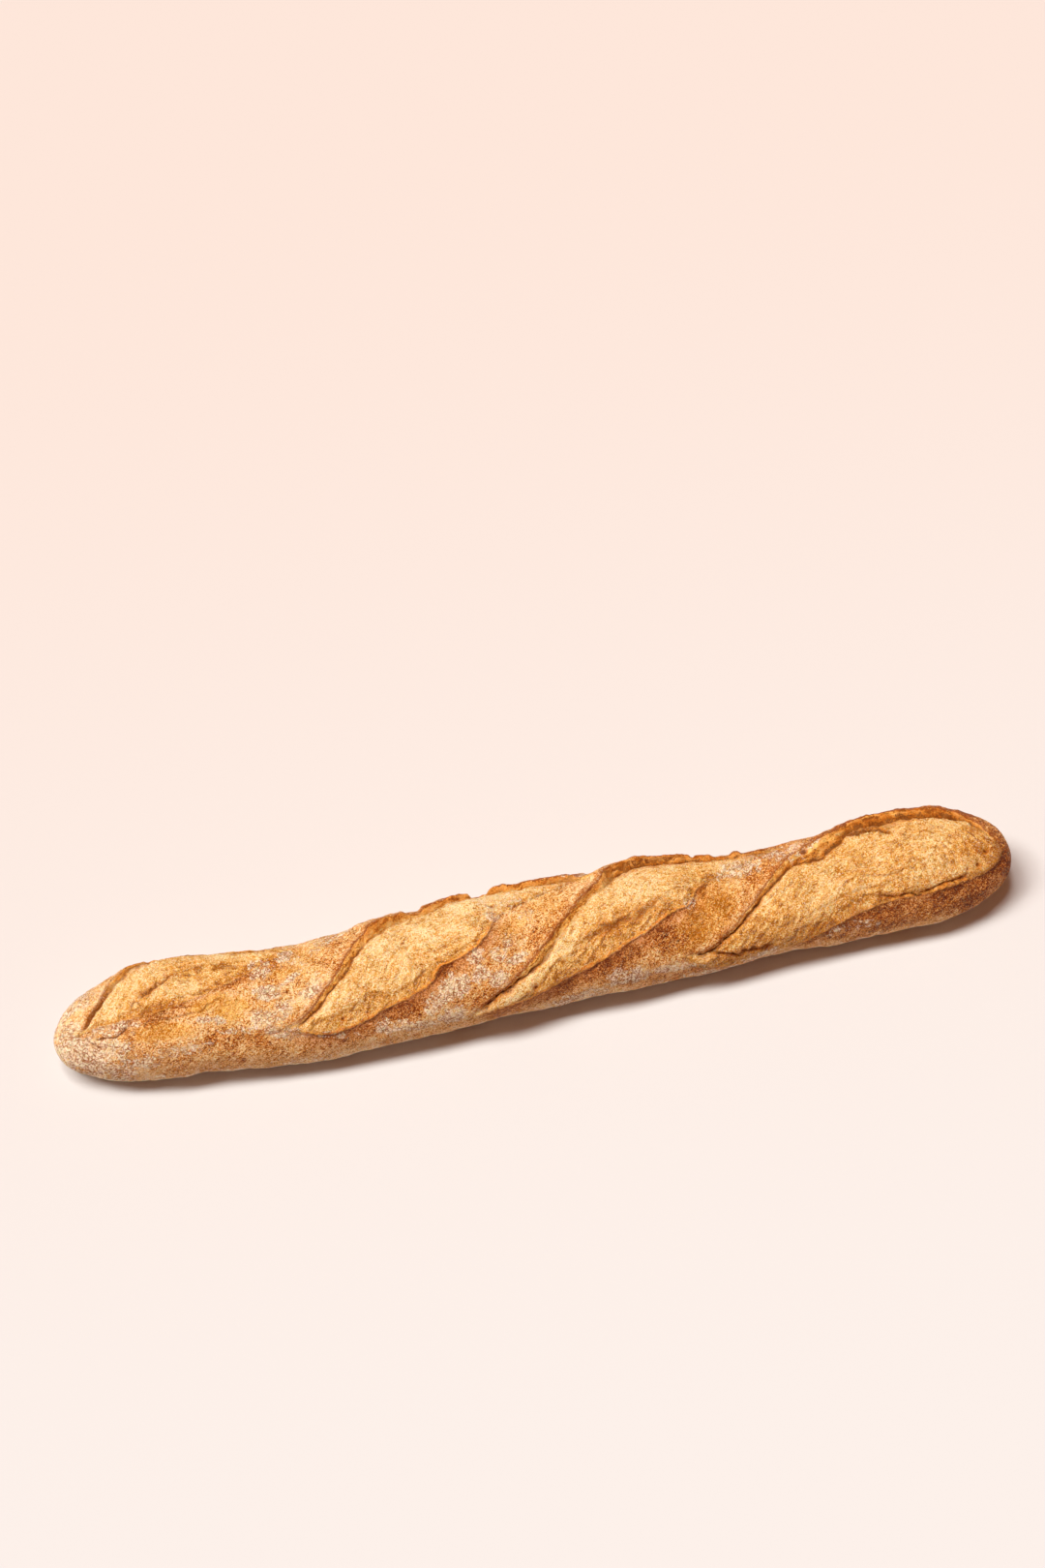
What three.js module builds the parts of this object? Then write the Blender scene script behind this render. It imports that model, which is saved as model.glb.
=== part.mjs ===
// A baguette: one long loaf, flat underneath, with four slashes that opened across its crown in the oven.
// Millimetres, with +X along the loaf, -Y its front side and +Z up. The origin is the middle of the base.
// "Round" is an angle in degrees from the crown, positive towards the front.
import * as THREE from "three";

const loaf = {
  length: 550,
  endLength: 59, // how far the rounding at each end reaches
  heightToWidth: 0.7,
  beltHeight: 0.43, // height of the widest line, as a share of the loaf's height
  crownSquareness: 2.15, // exponent of the oval above the belt
  baseSquareness: 2.7, // exponent of the oval below it
  sunkShare: 1.06, // the lower oval reaches this share of the belt's height, and the table cuts it flat
  baseTaper: 0.8, // exponent with which the lower oval shrinks towards the ends
  faceRadius: 32, // turns an angle round the loaf into millimetres of crust
};

// Stations are [along, value].
const halfWidths = [
  [-275, 30.8], [-205, 33.6], [-140, 33.6], [-70, 36], [0, 35], [65, 34.8], [125, 31.2], [185, 32.8],
  [275, 34.2],
];
const sidewaysDrift = [
  [-275, 1.8], [-205, 3], [-140, -4.4], [-70, -2], [0, 0], [65, -0.2], [125, -0.4], [185, 0.9], [275, 0.4],
];

// Each slash opens between its ear, the lifted edge, and its heel, the low edge, both [along, round].
// Stations of [along, value] give the width of the torn wall under the ear, the height of the ear's edge, the
// depth of the crevice at the foot of the wall, and the height of the ridge along the heel. A flap of the ear
// is [from, to, extra height]. The dough bulges up between them by its rise.
const slashes = [
  {
    ear: [
      [-264, 25], [-257, 13], [-251, -8], [-244, -27], [-237, -50], [-226, -66], [-200, -73], [-165, -66],
      [-138, -50],
    ],
    heel: [
      [-264, 25], [-250, 19], [-229, 20], [-207, 16], [-192, 7], [-181, -2], [-166, -16], [-150, -34],
      [-138, -50],
    ],
    wall: [[-264, 1], [-236, 5], [-138, 3]],
    edge: [[-264, 0.3], [-255, 0.8], [-245, 0.4], [-220, 0.1], [-138, 0.2]],
    flaps: [[-231, -217, 1.3], [-177, -158, 1.2], [-148, -139, 1.3]],
    depth: [[-264, 0.6], [-240, 1.2], [-138, 1]],
    ridge: [[-264, 1.5], [-170, 1.5], [-160, 1.4], [-138, 0.8]],
    rise: 1.6,
  },
  {
    ear: [
      [-150, 52], [-141, 47], [-128, 26], [-114, -3], [-106, -24], [-96, -42], [-86, -51], [-64, -56],
      [-35, -64], [5, -65], [36, -57],
    ],
    heel: [
      [-150, 52], [-137, 60], [-124, 64], [-100, 56], [-79, 47], [-66, 38], [-60, 27], [-45, 19], [-32, 5],
      [-25, -14], [-12, -29], [14, -44], [36, -57],
    ],
    wall: [[-150, 1], [-121, 4], [-90, 7], [-50, 3.5], [36, 5]],
    edge: [
      [-150, 0.2], [-135, 0.5], [-121, 0.9], [-106, 1.8], [-92, 2.2], [-66, 1.2], [-40, 1.2], [-28, 0.3],
      [-18, 2.4], [8, 1.6], [36, 0.2],
    ],
    flaps: [[-95, -71, 2.6], [-61, -33, 3.2], [-22, 33, 3.2]],
    depth: [[-150, 1], [-140, 1.9], [-112, 1.7], [-94, 1.2], [-60, 0.9], [36, 1.2]],
    ridge: [[-150, 1.3], [-135, 2.2], [-125, 2.2], [-45, 2.2], [-32, 2], [-22, 0.7], [0, 0], [36, 0]],
    rise: 2.4,
  },
  {
    ear: [
      [-50, 87], [-40, 72], [-25, 58], [-12, 44], [0, 26], [14, 1], [25, -20], [36, -36], [44, -52],
      [60, -64], [90, -65], [124, -57], [142, -54],
    ],
    heel: [
      [-50, 87], [-33, 79], [-15, 76], [6, 66], [28, 54], [44, 43], [57, 34], [74, 19], [84, 13], [92, -7],
      [112, -26], [142, -54],
    ],
    wall: [[-50, 1], [-24, 2.4], [-6, 5], [25, 4.4], [60, 7], [142, 4]],
    edge: [[-50, 0.3], [-25, 0.7], [-6, 1.2], [20, 1.6], [38, 2.8], [70, 2.8], [142, 1.6]],
    flaps: [[39, 94, 3], [96, 106, 1.8], [117, 122, 1.8]],
    depth: [[-50, 1], [-38, 2], [-14, 1.8], [2, 1], [34, 1], [48, 1.6], [92, 2], [142, 1.2]],
    ridge: [[-50, 1.3], [-36, 2.2], [-26, 2.2], [64, 2.2], [76, 2], [90, 1.1], [105, 0.2], [142, 0]],
    rise: 2.6,
  },
  {
    ear: [
      [74, 70], [90, 65], [103, 51], [116, 31], [131, 1], [145, -26], [160, -39], [176, -50], [200, -60],
      [225, -58], [248, -46], [258, -26], [264, -3], [268, 18],
    ],
    heel: [
      [74, 70], [82, 82], [94, 89], [115, 96], [128, 88], [146, 80], [166, 67], [190, 57], [215, 55],
      [245, 52], [260, 46], [268, 18],
    ],
    wall: [[74, 1], [118, 3.4], [157, 12], [184, 6], [200, 8], [245, 5], [268, 1]],
    edge: [[74, 0.3], [100, 0.6], [120, 1.2], [150, 2.6], [178, 2.6], [245, 2.6], [260, 1], [268, 0.2]],
    flaps: [[152, 178, 1], [180, 248, 1.8]],
    depth: [[74, 1], [86, 1.8], [130, 2], [146, 2.2], [176, 2.2], [240, 2], [268, 0.8]],
    ridge: [[74, 0.8], [92, 1.5], [120, 1.9], [250, 1.9], [260, 1.7], [268, 1]],
    rise: 2.8,
  },
];

const opening = {
  lipReach: 8, // how far back the crust lifts towards the ear
  flapFade: 2.5, // over which a flap starts and stops
  creaseReach: 3.5, // over which the dough climbs out of the crevice
  closeWidth: 7, // an opening narrower than this is shallower
  narrowestWall: 2.5,
  ridgeReach: 3, // over which the heel's ridge dies away on either side
  earEnds: [13, 9], // how far from the slash's two tips its ear reaches its full height
  heelEnds: [13, 21],
  roundLimit: 135, // no slash comes lower on the sides
  pastEnds: 30, // how far past its ends a slash still lifts the crust
  calmEnd: 6, // over which the relief starts from the loaf's tips
};

// Slow swellings of the crust: [height, size, kind].
const swellings = [[0.9, 34, 1], [0.6, 15, 2]];

const mesh = {
  columns: 35,
  rings: 168,
  crownDensity: 0.2, // the columns stand closer together over the crown
  steadyBelow: 108, // the corners lower than this angle keep their places
  leastGap: 0.6, // share of its usual distance that a corner keeps from its neighbour
  curveSteps: 8, // straight legs between two stations of an edge
  curlsBack: 243, // past this the last ear curls back round the end of the loaf
};

const degrees = Math.PI / 180;
const tiny = 1e-6; // keeps lengths that are divided by away from zero
const smooth = (t) => {
  const c = Math.min(Math.max(t, 0), 1);
  return c * c * (3 - 2 * c);
};

// A smooth curve through stations [along, value], held level past its ends.
function curveAt(stations, along) {
  const last = stations.length - 1;
  if (along <= stations[0][0]) return stations[0][1];
  if (along >= stations[last][0]) return stations[last][1];
  let k = 0;
  while (along > stations[k + 1][0]) k += 1;
  const slopeBetween = (i) => (stations[i + 1][1] - stations[i][1]) / (stations[i + 1][0] - stations[i][0]);
  const slopeAt = (i) => {
    if (i === 0) return slopeBetween(0);
    if (i === last) return slopeBetween(last - 1);
    return (slopeBetween(i - 1) + slopeBetween(i)) / 2;
  };
  const span = stations[k + 1][0] - stations[k][0];
  const t = (along - stations[k][0]) / span;
  const rise = stations[k][1] * (1 + 2 * t) * (1 - t) ** 2 + stations[k + 1][1] * t * t * (3 - 2 * t);
  return rise + span * (slopeAt(k) * t * (1 - t) ** 2 - slopeAt(k + 1) * t * t * (1 - t));
}

// The quarter circle that rounds off each end: 0 at the tip, 1 from endLength inwards.
function endSwell(along) {
  const fromEnd = THREE.MathUtils.clamp((loaf.length / 2 - Math.abs(along)) / loaf.endLength, 0, 1);
  return Math.sqrt(Math.max(1 - (1 - fromEnd) ** 2, 0));
}

// The plain loaf: an oval section with a squarer underside, shrinking to a point at each end.
function bareSurface(along, round) {
  const halfWidth = curveAt(halfWidths, along);
  const swell = endSwell(along);
  const height = 2 * halfWidth * loaf.heightToWidth;
  const belt = height * loaf.beltHeight;
  const above = Math.cos(round) > 0;
  const sunk = loaf.sunkShare * belt * swell ** loaf.baseTaper;
  const reach = Math.max(above ? (height - belt) * swell : sunk, tiny);
  const wide = Math.max(halfWidth * swell, tiny);
  const power = above ? loaf.crownSquareness : loaf.baseSquareness;
  const across = (Math.abs(Math.sin(round)) / wide) ** power;
  const upward = (Math.abs(Math.cos(round)) / reach) ** power;
  const radius = (across + upward) ** (-1 / power);
  const y = curveAt(sidewaysDrift, along) - radius * Math.sin(round);
  return new THREE.Vector3(along, y, belt + radius * Math.cos(round));
}

// One repeatable number from 0 to 1 for each whole-number cell.
function cellValue(x, y, z, kind) {
  const mixed = [x * 73856093, y * 19349663, z * 83492791, kind * 49979693].map(BigInt);
  let n = mixed[0] ^ mixed[1] ^ mixed[2] ^ mixed[3];
  n = ((n ^ (n >> 13n)) * 1274126177n) & 0x7fffffffn;
  n = ((n ^ (n >> 15n)) * 668265263n) & 0x7fffffffn;
  return Number(n ^ (n >> 16n)) / 0x7fffffff;
}

// Smooth lumps from -1 to 1: cell values of that size, blended along the three axes.
function lumps(point, size, kind) {
  const place = point.toArray().map((v) => v / size + 1000);
  const cell = place.map(Math.floor);
  const share = place.map((v, i) => {
    const f = v - cell[i];
    return f ** 3 * (f * (6 * f - 15) + 10);
  });
  let total = 0;
  for (let corner = 0; corner < 8; corner += 1) {
    const step = [corner & 1, (corner >> 1) & 1, corner >> 2];
    const weight = step.reduce((product, on, i) => product * (on ? share[i] : 1 - share[i]), 1);
    total += weight * cellValue(cell[0] + step[0], cell[1] + step[1], cell[2] + step[2], kind);
  }
  return 2 * total - 1;
}

function arcPerDegree(along) {
  return degrees * loaf.faceRadius * Math.sqrt(endSwell(along));
}

// The crust laid flat: along, and arc length from the crown.
function laidFlat(along, round) {
  return new THREE.Vector2(along, round * arcPerDegree(along));
}

// A smooth line through stations [along, round] on the flat crust, as short straight legs.
function lineThrough(stations) {
  const spline = new THREE.SplineCurve(stations.map(([along, round]) => new THREE.Vector2(along, round)));
  const spots = spline.getPoints((stations.length - 1) * mesh.curveSteps).map(({ x, y }) => laidFlat(x, y));
  return spots.slice(1).map((end, i) => {
    return { start: spots[i], way: end.clone().sub(spots[i]) };
  });
}

// Signed distance from a line, positive towards the front, and how far along the loaf its nearest spot lies.
function fromLine(line, spot) {
  let nearest = { distance: Infinity, along: 0 };
  for (const { start, way } of line) {
    const offset = spot.clone().sub(start);
    const t = THREE.MathUtils.clamp(offset.dot(way) / way.lengthSq(), 0, 1);
    const distance = offset.distanceTo(way.clone().multiplyScalar(t));
    if (distance < Math.abs(nearest.distance)) {
      const side = way.cross(offset) < 0 ? -1 : 1;
      nearest = { distance: side * distance, along: start.x + t * way.x };
    }
  }
  return nearest;
}

// 0 at a slash's two tips, 1 from those reaches onwards.
function fadeAtTips(slash, spot, [startReach, endReach]) {
  const fromStart = smooth(spot.distanceTo(slash.startTip) / startReach);
  return fromStart * smooth(spot.distanceTo(slash.endTip) / endReach);
}

function edgeHeight(slash, along) {
  return slash.flaps.reduce((sum, [from, to, height]) => {
    const rising = smooth((along - from) / opening.flapFade + 0.5);
    const falling = smooth((to - along) / opening.flapFade + 0.5);
    return sum + height * rising * falling;
  }, curveAt(slash.edge, along));
}

const openings = slashes.map((slash) => {
  return {
    ...slash,
    earLine: lineThrough(slash.ear),
    heelLine: lineThrough(slash.heel),
    startTip: laidFlat(...slash.ear[0]),
    endTip: laidFlat(...slash.ear[slash.ear.length - 1]),
  };
});

// How far one slash lifts or sinks the crust at a spot: behind the ear, beyond the heel, on the torn wall
// under the ear, or on the dough that bulges between the wall and the heel.
function slashRelief(slash, spot) {
  const pastEnds = Math.max(slash.startTip.x - spot.x, spot.x - slash.endTip.x);
  if (pastEnds > opening.pastEnds) return 0;
  const ear = fromLine(slash.earLine, spot);
  const heel = fromLine(slash.heelLine, spot);
  const fromEar = ear.distance;
  const fromHeel = -heel.distance;
  const earFade = fadeAtTips(slash, spot, opening.earEnds);
  const heelFade = fadeAtTips(slash, spot, opening.heelEnds);
  const edge = edgeHeight(slash, ear.along);
  const ridgeFade = heelFade * Math.exp(-Math.abs(fromHeel) / opening.ridgeReach);
  const ridge = curveAt(slash.ridge, heel.along) * ridgeFade;
  if (fromEar < 0) return (fromHeel < 0 ? heelFade : earFade) * edge * Math.exp(fromEar / opening.lipReach);
  if (fromHeel < 0) return ridge;
  const opened = earFade * smooth((fromEar + fromHeel) / opening.closeWidth);
  const wall = Math.max(curveAt(slash.wall, ear.along), opening.narrowestWall);
  const depth = curveAt(slash.depth, ear.along);
  const fallen = fromEar / wall;
  if (fallen < 1) return opened * (edge * (1 - fallen) - depth * fallen * fallen);
  const past = fromEar - wall;
  const across = past / (past + fromHeel + tiny);
  const dome = slash.rise * Math.sqrt(Math.max(1 - (2 * across - 1) ** 2, 0));
  return opened * (dome - depth * Math.exp(-past / opening.creaseReach) + ridge);
}

function relief(bare, along, round) {
  const slow = swellings.reduce((sum, [height, size, kind]) => sum + height * lumps(bare, size, kind), 0);
  if (Math.abs(round) > opening.roundLimit) return slow;
  const spot = laidFlat(along, round);
  return openings.reduce((sum, slash) => sum + slashRelief(slash, spot), slow);
}

// A place on the crust: the bare surface, moved along its own outward direction, and never below the table.
function crustPoint(along, round) {
  const step = 0.01;
  const radians = round * degrees;
  const inward = Math.sign(along) || 1;
  const here = bareSurface(along, radians);
  const alongLoaf = bareSurface(along - inward * step, radians).sub(here).multiplyScalar(-inward);
  const roundLoaf = bareSurface(along, radians + step).sub(here);
  const outward = roundLoaf.cross(alongLoaf).normalize();
  const calmEnd = smooth((loaf.length / 2 - Math.abs(along)) / opening.calmEnd);
  here.addScaledVector(outward, relief(here, along, round) * calmEnd);
  here.z = Math.max(here.z, 0);
  return here;
}

// The angle at which an edge crosses the ring there, or nothing past its ends.
function crossingAngle(line, along) {
  const leg = line.find(({ start, way }) => along >= start.x && along < start.x + way.x);
  if (!leg) return undefined;
  const share = (along - leg.start.x) / leg.way.x;
  return (leg.start.y + share * leg.way.y) / arcPerDegree(along);
}

// The angles of one ring's corners: closer together over the crown, and shifted a little between the edges
// that the ring crosses, so that a corner lies on each of them.
function ringAngles(along) {
  const angles = Array.from({ length: mesh.columns + 1 }, (_, corner) => {
    const radians = (corner / mesh.columns) * 2 * Math.PI - Math.PI;
    return (radians - mesh.crownDensity * Math.sin(radians)) / degrees;
  });
  const crossings = openings
    .flatMap(({ earLine, heelLine }) => [crossingAngle(earLine, along), crossingAngle(heelLine, along)])
    .filter((angle) => angle !== undefined)
    .sort((a, b) => a - b);
  const steady = angles.filter((angle) => angle < -mesh.steadyBelow).length;
  const pins = [0, steady].map((corner) => ({ corner, angle: angles[corner], shift: 0 }));
  for (const angle of crossings) {
    const near = angles.reduce((best, other, i) => {
      return Math.abs(other - angle) < Math.abs(angles[best] - angle) ? i : best;
    }, 0);
    const before = pins[pins.length - 1];
    const least = mesh.leastGap * (angles[near] - angles[near - 1]);
    if (near > before.corner && angle - before.angle > least) {
      pins.push({ corner: near, angle, shift: angle - angles[near] });
    }
  }
  pins.push({ corner: mesh.columns - steady, shift: 0 }, { corner: mesh.columns, shift: 0 });
  return angles.map((angle, corner) => {
    const next = Math.max(pins.findIndex((pin) => pin.corner >= corner), 1);
    const [from, to] = [pins[next - 1], pins[next]];
    return angle + THREE.MathUtils.mapLinear(corner, from.corner, to.corner, from.shift, to.shift);
  });
}

// Ring positions: close together where the ends round off, even between them.
function ringAlong(share) {
  const half = loaf.length / 2;
  const endArc = (loaf.endLength * Math.PI) / 2;
  const straight = half - loaf.endLength;
  const travelled = Math.abs(share - 0.5) * 2 * (straight + endArc);
  const side = Math.sign(share - 0.5);
  if (travelled <= straight) return side * travelled;
  return side * (straight + loaf.endLength * Math.sin((travelled - straight) / loaf.endLength));
}

// Two triangles for each square between the rings, split along the diagonal that runs with the edges of the
// slashes, and one triangle for each square at the tips.
function splitSquares() {
  const index = [];
  for (let ring = 0; ring < mesh.rings; ring += 1) {
    const pastCurl = ringAlong(1 - ring / mesh.rings) > mesh.curlsBack;
    for (let corner = 0; corner < mesh.columns; corner += 1) {
      const b = ring * (mesh.columns + 1) + corner;
      const [a, c, d] = [b + 1, b + mesh.columns + 1, b + mesh.columns + 2];
      if (ring === 0) index.push(b, c, d);
      else if (ring === mesh.rings - 1) index.push(a, b, d);
      else if (pastCurl && corner < mesh.columns / 2) index.push(a, b, c, a, c, d);
      else index.push(a, b, d, b, c, d);
    }
  }
  return index;
}

// A sphere's grid, drawn out into the loaf: its width segments go round, and its height segments along.
function loafGeometry() {
  const skin = new THREE.SphereGeometry(1, mesh.columns, mesh.rings);
  const place = skin.getAttribute("position");
  for (let ring = 0; ring <= mesh.rings; ring += 1) {
    const along = ringAlong(1 - ring / mesh.rings);
    ringAngles(along).forEach((round, corner) => {
      const point = crustPoint(along, round);
      place.setXYZ(ring * (mesh.columns + 1) + corner, point.x, point.y, point.z);
    });
  }
  skin.setIndex(splitSquares());
  skin.deleteAttribute("normal");
  skin.computeBoundingBox();
  const box = skin.boundingBox;
  skin.translate(-(box.min.x + box.max.x) / 2, -(box.min.y + box.max.y) / 2, -box.min.z);
  skin.computeVertexNormals();
  return skin;
}

const crust = new THREE.MeshStandardMaterial({ color: 0xd0924a, roughness: 0.8, metalness: 0 });
const baguette = new THREE.Mesh(loafGeometry(), crust);
baguette.name = "baguette";

const group = new THREE.Group();
group.add(baguette);
export default group;
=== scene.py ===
import bpy
import numpy as np
from mathutils import Matrix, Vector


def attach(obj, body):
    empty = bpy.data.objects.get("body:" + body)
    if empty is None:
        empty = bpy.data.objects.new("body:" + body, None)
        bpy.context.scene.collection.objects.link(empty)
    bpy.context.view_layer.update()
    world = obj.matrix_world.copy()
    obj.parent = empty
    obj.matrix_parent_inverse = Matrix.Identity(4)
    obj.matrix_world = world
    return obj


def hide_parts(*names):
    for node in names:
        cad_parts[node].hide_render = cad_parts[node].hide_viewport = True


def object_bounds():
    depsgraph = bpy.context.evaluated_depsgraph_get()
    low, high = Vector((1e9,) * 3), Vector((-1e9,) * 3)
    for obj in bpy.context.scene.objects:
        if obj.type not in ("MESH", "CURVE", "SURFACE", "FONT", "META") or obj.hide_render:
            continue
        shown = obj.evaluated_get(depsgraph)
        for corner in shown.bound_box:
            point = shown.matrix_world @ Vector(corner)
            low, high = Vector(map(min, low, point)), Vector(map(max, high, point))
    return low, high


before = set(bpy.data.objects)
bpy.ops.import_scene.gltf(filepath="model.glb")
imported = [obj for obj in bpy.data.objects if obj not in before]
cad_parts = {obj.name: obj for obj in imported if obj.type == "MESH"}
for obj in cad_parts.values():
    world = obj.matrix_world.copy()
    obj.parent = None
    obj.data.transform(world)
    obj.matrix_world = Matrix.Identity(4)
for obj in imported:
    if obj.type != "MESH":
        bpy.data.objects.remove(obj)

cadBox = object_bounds()
degree = np.pi / 180

# The loaf is worked out in millimetres: x runs along it, "round" is the angle from the crown in degrees,
# positive towards the front (-Y), and metres come only when the mesh is made.
loaf = {
    "length": 550.0,
    "endLength": 59.0,  # how far the rounding at each end reaches
    "heightToWidth": 0.70,
    "beltHeight": 0.43,  # height of the widest line, as a share of the loaf's height
    "crownSquareness": 2.15,  # exponent of the oval above the belt
    "baseSquareness": 2.7,  # exponent of the oval below it
    "sunkShare": 1.06,  # the lower oval reaches this share of the belt's height, and the table cuts it flat
    "underSwell": 0.8,  # power of the end's rounding with which the lower oval shrinks
    "faceRadius": 32.0,  # turns an angle round the loaf into millimetres of crust
    "halfWidth": ((-275, 30.8), (-205, 33.6), (-140, 33.6), (-70, 36.0), (0, 35.0), (65, 34.8),
                  (125, 31.2), (185, 32.8), (275, 34.2)),
    "drift": ((-275, 1.8), (-205, 3.0), (-140, -4.4), (-70, -2.0), (0, 0.0), (65, -0.2),
              (125, -0.4), (185, 0.9), (275, 0.4)),
    "rings": 645,
    "columns": 150,
    "twist": 0.65,  # degrees round per millimetre along, so that the grid runs with the slashes
    "crownDensity": 0.55,  # the columns stand closer together over the crown
    "denseAt": 15.0,  # and closest this far round
    "calmEnd": 6.0,  # the relief dies out this near to each tip
    "restHeight": 3.0,  # below this the crust settles softly onto the table
    "restSharpness": 2.0,
    "centre": (0.0, 0.6),  # moves the finished loaf over the origin
}

# Each slash opens between its ear, the lifted edge, and its heel, the low edge, both (along, round).
# The wall is the torn face under the ear: (along, width). The edge is the ear's height: (along, height).
# A flap is (from, to, extra height of the ear). The strip along the heel tore last: (along, width).
# The depth is that of the crevice at the foot of the wall: (along, depth), which also sets how dark its
# painted shade is. The ridge at the heel is (height, how far it spreads into the dough, how far out over the
# crust, how strongly its baked orange edge, lightened by a painted highlight, and the painted shade and
# shadow line below it show), and it fades by (along, share).
slashes = (
    {
        "ear": ((-264, 25), (-257, 13), (-251, -8), (-244, -27), (-237, -50), (-226, -66), (-200, -73),
                (-165, -66), (-138, -50)),
        "heel": ((-264, 25), (-250, 19), (-229, 20), (-207, 16), (-192, 7), (-181, -2), (-166, -16),
                 (-150, -34), (-138, -50)),
        "wall": ((-264, 0.8), (-252, 1.5), (-244, 3), (-236, 5), (-215, 5), (-138, 3)),
        "edge": ((-264, 0.3), (-255, 0.8), (-245, 0.4), (-220, 0.1), (-138, 0.2)),
        "flaps": ((-231, -217, 1.3), (-177, -158, 1.2), (-148, -139, 1.3)),
        "strip": ((-264, 1), (-230, 5), (-207, 6), (-180, 4), (-138, 2)),
        "depth": ((-264, 0.6), (-240, 1.2), (-138, 1.0)),
        "browned": 0.3,
        "heelRidge": (1.5, 5.0, 4.5, 0.3),
        "heelFade": ((-264, 1), (-170, 1), (-160, 0.95), (-138, 0.5)),
        "rise": 1.6,
    },
    {
        "ear": ((-150, 52), (-141, 47), (-128, 26), (-114, -3), (-106, -24), (-96, -42), (-86, -51),
                (-64, -56), (-35, -64), (5, -65), (36, -57)),
        "heel": ((-150, 52), (-137, 60), (-124, 64), (-100, 56), (-79, 47), (-66, 38), (-60, 27), (-45, 19),
                 (-32, 5), (-25, -14), (-12, -29), (14, -44), (36, -57)),
        "wall": ((-150, 0.6), (-135, 2.4), (-121, 4), (-104, 5.8), (-90, 7), (-72, 5), (-50, 3.5), (-24, 4),
                 (36, 5)),
        "edge": ((-150, 0.2), (-135, 0.5), (-121, 0.9), (-106, 1.8), (-92, 2.2), (-66, 1.2), (-40, 1.2),
                 (-28, 0.3), (-18, 2.4), (8, 1.6), (36, 0.2)),
        "flaps": ((-95, -71, 2.6), (-61, -33, 3.2), (-22, 33, 3.2)),
        "strip": ((-150, 1), (-130, 10), (-100, 11), (-82, 6), (-66, 6), (-50, 5), (-30, 5), (-15, 3),
                  (36, 1)),
        "depth": ((-150, 1.0), (-140, 1.9), (-112, 1.7), (-94, 1.2), (-60, 0.9), (36, 1.2)),
        "browned": 1.0,
        "heelRidge": (2.2, 3.0, 1.1, 1.0),
        "heelFade": ((-150, 0.6), (-135, 1), (-125, 1), (-45, 1), (-32, 0.9), (-22, 0.3), (0, 0), (36, 0)),
        "rise": 2.4,
    },
    {
        "ear": ((-50, 87), (-40, 72), (-25, 58), (-12, 44), (0, 26), (14, 1), (25, -20), (36, -36), (44, -52),
                (60, -64), (90, -65), (124, -57), (142, -54)),
        "heel": ((-50, 87), (-33, 79), (-15, 76), (6, 66), (28, 54), (44, 43), (57, 34), (74, 19), (84, 13),
                 (92, -7), (112, -26), (142, -54)),
        "wall": ((-50, 0.6), (-24, 2.4), (-6, 5.0), (10, 4.6), (25, 4.4), (40, 6), (60, 7), (142, 4)),
        "edge": ((-50, 0.3), (-25, 0.7), (-6, 1.2), (20, 1.6), (38, 2.8), (70, 2.8), (142, 1.6)),
        "flaps": ((39, 94, 3.0), (96, 106, 1.8), (117, 122, 1.8)),
        "strip": ((-50, 1), (-12, 5), (6, 12), (30, 14), (50, 12), (70, 8), (88, 4), (142, 1)),
        "depth": ((-50, 1.0), (-38, 2.0), (-14, 1.8), (2, 1.0), (34, 1.0), (48, 1.6), (92, 2.0), (142, 1.2)),
        "browned": 0.9,
        "heelRidge": (2.2, 3.0, 1.1, 1.0),
        "heelFade": ((-50, 0.6), (-36, 1), (-26, 1), (64, 1), (76, 0.9), (90, 0.5), (105, 0.1), (142, 0)),
        "rise": 2.6,
    },
    {
        "ear": ((74, 70), (90, 65), (103, 51), (116, 31), (131, 1), (145, -26), (160, -39), (176, -50),
                (200, -60), (225, -58), (248, -46), (258, -26), (264, -3), (268, 18)),
        "heel": ((74, 70), (82, 82), (94, 89), (115, 96), (128, 88), (146, 80), (166, 67), (190, 57),
                 (215, 55), (245, 52), (260, 46), (268, 18)),
        "wall": ((74, 0.6), (100, 2), (118, 3.4), (140, 6), (157, 12), (174, 10), (184, 6), (200, 8),
                 (222, 7), (245, 5), (258, 2), (268, 0.6)),
        "edge": ((74, 0.3), (100, 0.6), (120, 1.2), (150, 2.6), (178, 2.6), (245, 2.6), (260, 1.0),
                 (268, 0.2)),
        "flaps": ((152, 178, 1.0), (180, 248, 1.8)),
        "strip": ((74, 2), (95, 9), (128, 11), (150, 10), (180, 9), (205, 4), (245, 3), (268, 1)),
        "depth": ((74, 1.0), (86, 1.8), (130, 2.0), (146, 2.2), (176, 2.2), (240, 2.0), (268, 0.8)),
        "browned": 0.8,
        "heelRidge": (1.9, 3.0, 1.1, 0.5),
        "heelFade": ((74, 0.4), (92, 0.8), (120, 1), (250, 1), (260, 0.9), (268, 0.5)),
        "rise": 2.8,
    },
)
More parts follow.
